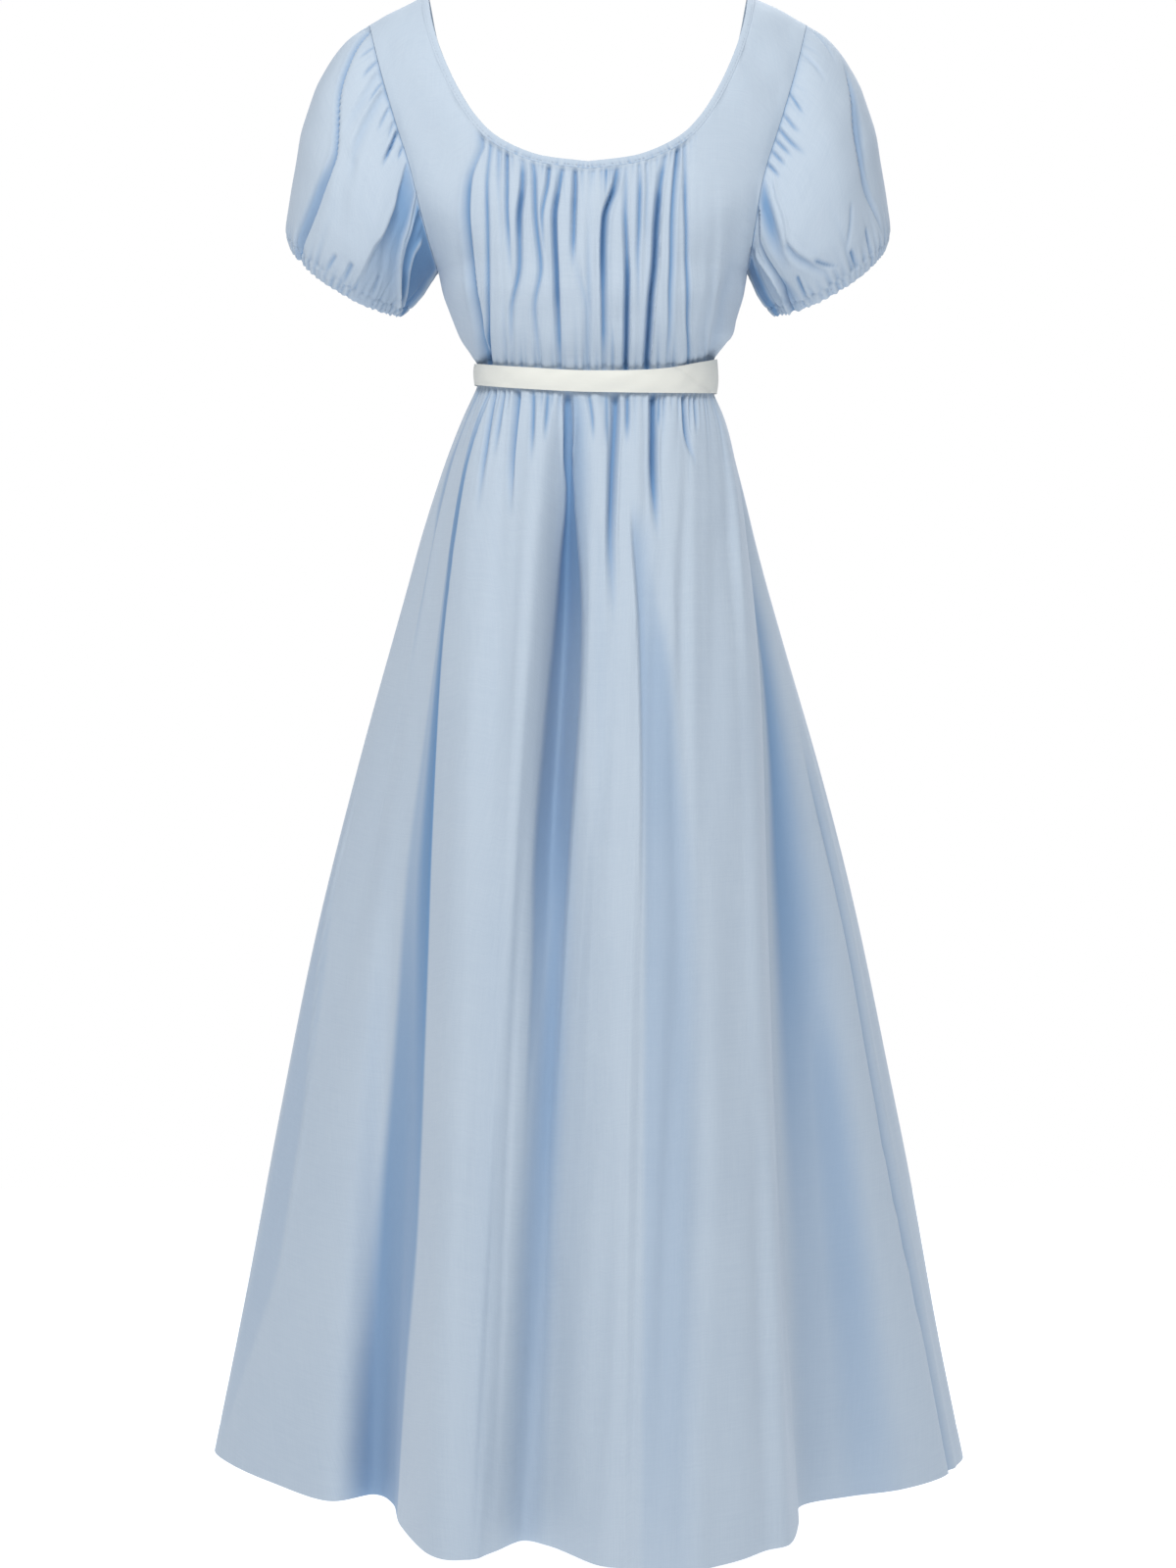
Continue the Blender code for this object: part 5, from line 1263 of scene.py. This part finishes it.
# a sleeve's shown half has its own folds, its hidden half the other sleeve's, and gathers run round both ends
def sleeveRelief(hand, turn, upper, w, length, scale):
    fromCap, fromCuff = w * length, (1 - w) * length
    fromCasing = fromCuff - sleeve["casing"]
    degrees = np.degrees(turn)[None, :] * np.ones_like(w)
    shown = halfSleeveFolds(hand, degrees, w, scale)
    hidden = halfSleeveFolds(-hand, 360 - degrees, w, scale)
    relief, shade = np.where(degrees <= 180, shown, hidden)
    spread = turn[None, :] * sleeve["radius"] * np.ones_like(w)
    atTop = smoothStep(upper * 2.4 - 0.2)
    band = 1 - smoothStep((fromCuff - sleeve["casing"] * 0.9) / 0.0015)
    rows = (
        ("capGathers", spread, fromCap, atTop, 54),
        ("cuffGathers", spread, np.maximum(fromCasing, 0), 1 - band, 56),
        ("casingGathers", spread + 0.003, 0, band, 58),
    )
    for row, at, fromEdge, where, seed in rows:
        relief, shade = addGathers(sleeve[row], at, fromEdge, where, seed + hand, relief, shade)
    fading = smoothStep(fromCap / 0.02) * smoothStep(fromCuff / 0.03) * smoothStep(upper * 2)
    relief += unevenWaves(sleeve["crumple"], spread, w, 60 + hand) * fading
    # stitched groove over the casing
    relief -= sleeve["stitchSink"] * np.exp(-(fromCasing / sleeve["stitchWidth"]) ** 2)
    atSeam = smoothStep(fromCap / 0.0025)
    # painted shade along the armhole seam, a dark line, faint over the shoulder
    seamShade = 0.25 + 0.50 * smoothStep((np.abs(degrees - 180) - 15) / 50)
    return relief * atSeam, np.maximum(shade * atSeam, seamShade * np.exp(-fromCap / 0.0016))


# a sleeve: its puffed grid with the relief laid on along the normals, and its cuff's edge scalloped a little
def makeSleeve(hand):
    points, outward, turn, upper, w, length = sleeveGrid(hand)
    normals = gridNormals(points, outward, ring=True)
    scale = np.linalg.norm(np.roll(points, -1, 1) - points, axis=-1) * sleeve["columns"] / 360
    relief, paintedShade = sleeveRelief(hand, turn, upper, w, length, scale)
    outer = points + normals * relief[..., None]
    scallop = unevenWaves(sleeve["scallops"], turn * sleeve["radius"], 0 * turn, 64 + hand)
    scallop = scallop * smoothStep(1 - (1 - w) * length / 0.012)
    outer += unit(points[-1] - points[-2]) * scallop[..., None]
    name = "sleeveLeftCloth" if hand == left else "sleeveRightCloth"
    inner = outer - normals * sleeve["wall"]
    return clothShell(name, outer, inner, normals, paintedShade, blueCloth, ring=True), (outer, normals, w, length)


# stitches along the row of points that lies over the casing's upper edge
def makeCasingStitches(hand, grid):
    outer, normals, w, length = grid
    middle = len(length) // 2
    row = int(np.argmin(np.abs((1 - w[:, middle]) * length[middle] - sleeve["casing"])))
    line = outer[row] - normals[row] * 0.0001
    starts, ends, face = stitchLine(line, normals[row], sleeve["stitch"], sleeve["stitchGap"])
    name = "casingStitchesLeft" if hand == left else "casingStitchesRight"
    return makeStitches(name, starts, ends, face, sleeve["thread"] / 2)


sleeveLeft, leftGrid = makeSleeve(left)
sleeveRight, rightGrid = makeSleeve(right)
casingLeft, casingRight = makeCasingStitches(left, leftGrid), makeCasingStitches(right, rightGrid)
print("sleeves made")

belt = {
    "thickness": 0.0008, "stand": 0.0019, "lap": 0.045, "lapGap": 0.0004, "columns": 420, "rows": 15,
    "crown": 0.0009, "selvedge": 0.00018, "waves": (0.00045, 0.05, 1.6),
    "creaseFrom": (0.0775, -0.326), "creaseTo": (0.107, -0.345), "creaseDepth": 0.0016, "creaseWidth": 0.0012,
}


# once round the waist from the middle of the hidden side, its last stretch lying over its first
def makeBelt():
    lap = 360 * belt["lap"] / (math.pi * (figure["waistHalf"] + figure["waistDepth"]))
    angle = np.linspace(180 - lap / 2, 540 + lap / 2, belt["columns"])
    over = smoothStep((angle - (540 - lap)) / (lap / 2))
    ring = waistRing(angle)
    along = np.gradient(ring, axis=0)
    face = unit(np.stack([along[:, 1], -along[:, 0]], axis=-1))
    face *= np.where(np.sum(face * ring, axis=-1, keepdims=True) < 0, -1.0, 1.0)
    rise = np.linspace(0, 1, belt["rows"])[:, None]
    low, high = beltEdge("beltBottom", angle), beltEdge("beltTop", angle)
    z = low + (high - low) * rise
    x, y = ring[:, 0] + middleX(z), ring[:, 1]
    crown = belt["crown"] * (1 - (2 * rise - 1) ** 2)
    selvedge = belt["selvedge"] * (np.exp(-(rise / 0.05) ** 2) + np.exp(-((1 - rise) / 0.05) ** 2))
    # distance from the crease's line, on the shown side
    (ax, az), (bx, bz) = belt["creaseFrom"], belt["creaseTo"]
    off = ((x - ax) * (bz - az) - (z - az) * (bx - ax)) / math.hypot(bx - ax, bz - az)
    fold = belt["creaseDepth"] * crease(off, belt["creaseWidth"], 0.8) * (y < 0)
    waves = unevenWaves(belt["waves"], np.radians(angle) * 0.1 * np.ones_like(z), rise, 70)
    waves = waves * smoothStep(rise * 4) * smoothStep((1 - rise) * 4)
    stand = belt["stand"] + (belt["thickness"] + belt["lapGap"]) * over + crown + waves - fold
    outer, inner = [np.stack([x + face[:, 0] * out, y + face[:, 1] * out, z], -1)
                    for out in (stand + belt["thickness"] + selvedge, stand)]
    normals = np.concatenate([face, np.zeros((len(face), 1))], 1)[None] * np.ones((belt["rows"], 1, 1))
    return clothShell("beltRibbon", outer, inner, normals, 0 * z, ivoryRibbon)


beltRibbon = makeBelt()
print("belt made")

# each piece, what it stands for, and its finish
stands = (
    (bodiceFront, "bodice_front", "blue_cloth"), (bodiceBack, "bodice_back", "blue_cloth"),
    (neckBinding, "neck_binding", "blue_cloth"), (skirtFront, "skirt_front", "blue_cloth"),
    (skirtBack, "skirt_back", "blue_cloth"), (sleeveLeft, "sleeve_left", "blue_cloth"),
    (sleeveRight, "sleeve_right", "blue_cloth"), (beltRibbon, "belt", "ivory_ribbon"),
)
for piece, node, slot in stands:
    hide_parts(node)
    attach(piece, "root")
for piece in (neckStitches, casingLeft, casingRight):
    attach(piece, "root")

studio = {
    "floorZ": -1.60, "floorHalf": 3.0, "floorPoints": 40,
    "paleFloor": ((0.86, 0.87, 0.88, 1), (0.92, 0.92, 0.93, 1)),
    "glow": ((0.37, 0.37, 0.37, 1), (0.62, 0.62, 0.62, 1)),     # the floor's painted glow, near the dress and far off
    "glowFrom": 0.3, "glowOver": 1.3,
    "fill": (0.356, 0.387, 0.434), "backdrop": (1.0, 1.0, 1.0),
    "key": 41.6, "keySize": 1.4, "keyAt": (-0.26, -1.68, 1.34), "keyColour": (1.0, 0.985, 0.96),
    "backKey": 42, "backKeyAt": (0.5, 1.85, 1.55), "backKeyColour": (1.0, 1.0, 1.0),
    "lampsAim": (0, 0, -0.6),
    "cameraAt": (0.0, -3.2, -0.5228), "cameraTilt": 86.7805, "lens": 80,
}


# a flat square floor with a painted glow, stronger away from the dress by (sqrt(x*x + y*y) - from) / over
def makeFloor():
    n = studio["floorPoints"]
    line = np.linspace(-studio["floorHalf"], studio["floorHalf"], n)
    x, y = np.meshgrid(line, line, indexing="xy")
    points = np.stack([x, y, np.full_like(x, studio["floorZ"])], -1).reshape(-1, 3)
    row, column = gridSquares(n - 1, n - 1)
    faces = row * n + column
    finish = Finish("paleFloor")
    place = finish.solidPlace()
    grain = finish.noise(place, 3.0, 4.0)
    finish.put("Base Color", finish.mixed(grain, *studio["paleFloor"]))
    finish.put("Roughness", grain * 0.1 + 0.8)
    x, y = finish.part(place, 0), finish.part(place, 1)
    away = (((x * x + y * y) ** 0.5 - studio["glowFrom"]) / studio["glowOver"]).held()
    finish.put("Emission Color", finish.mixed(away, *studio["glow"]))
    finish.put("Emission Strength", 1.0)
    return meshObject("floor", points, faces, points[faces][..., :2], np.zeros(len(points)), finish.material)


# a square lamp turned to where all lamps aim: across = direction x up, upward = across x direction
def areaLight(name, at, size, energy, colour):
    light = bpy.data.lights.new(name, "AREA")
    light.shape, light.size, light.energy, light.color = "SQUARE", size, energy, colour
    lamp = bpy.data.objects.new(name, light)
    direction = unit(np.array(studio["lampsAim"], float) - np.array(at, float))
    across = unit(np.cross(direction, [0, 0, 1.0]))
    axes = np.stack([across, np.cross(across, direction), -direction, at], axis=-1)
    lamp.matrix_world = Matrix([*axes.tolist(), [0, 0, 0, 1]])
    lamp.visible_camera = False
    bpy.context.scene.collection.objects.link(lamp)


# fill light from all round, and a white backdrop that only the camera sees
def makeWorld():
    world = bpy.data.worlds.new("studio")
    sky = Nodes(world)
    fill = sky.tree.nodes["Background"]
    sky.feed(fill.inputs["Color"], (*studio["fill"], 1))
    seen = sky.node("ShaderNodeBackground", {}, {"Color": (*studio["backdrop"], 1)})
    toCamera = sky.node("ShaderNodeLightPath", {}, {}, "Is Camera Ray")
    both = sky.node("ShaderNodeMixShader", {}, {0: toCamera, 1: Value(sky, fill.outputs[0]), 2: seen})
    sky.feed(sky.tree.nodes["World Output"].inputs["Surface"], both)
    bpy.context.scene.world = world


floor = makeFloor()
makeWorld()
areaLight("key", studio["keyAt"], studio["keySize"], studio["key"], studio["keyColour"])
areaLight("backKey", studio["backKeyAt"], studio["keySize"], studio["backKey"], studio["backKeyColour"])

cameraData = bpy.data.cameras.new("camera")
cameraData.lens, cameraData.sensor_width = studio["lens"], 36
camera = bpy.data.objects.new("camera", cameraData)
tilt = Matrix.Rotation(math.radians(studio["cameraTilt"]), 4, "X")
camera.matrix_world = Matrix.Translation(studio["cameraAt"]) @ tilt
bpy.context.scene.collection.objects.link(camera)
bpy.context.scene.camera = camera
bpy.context.scene.view_settings.view_transform = "Standard"
print("studio made")
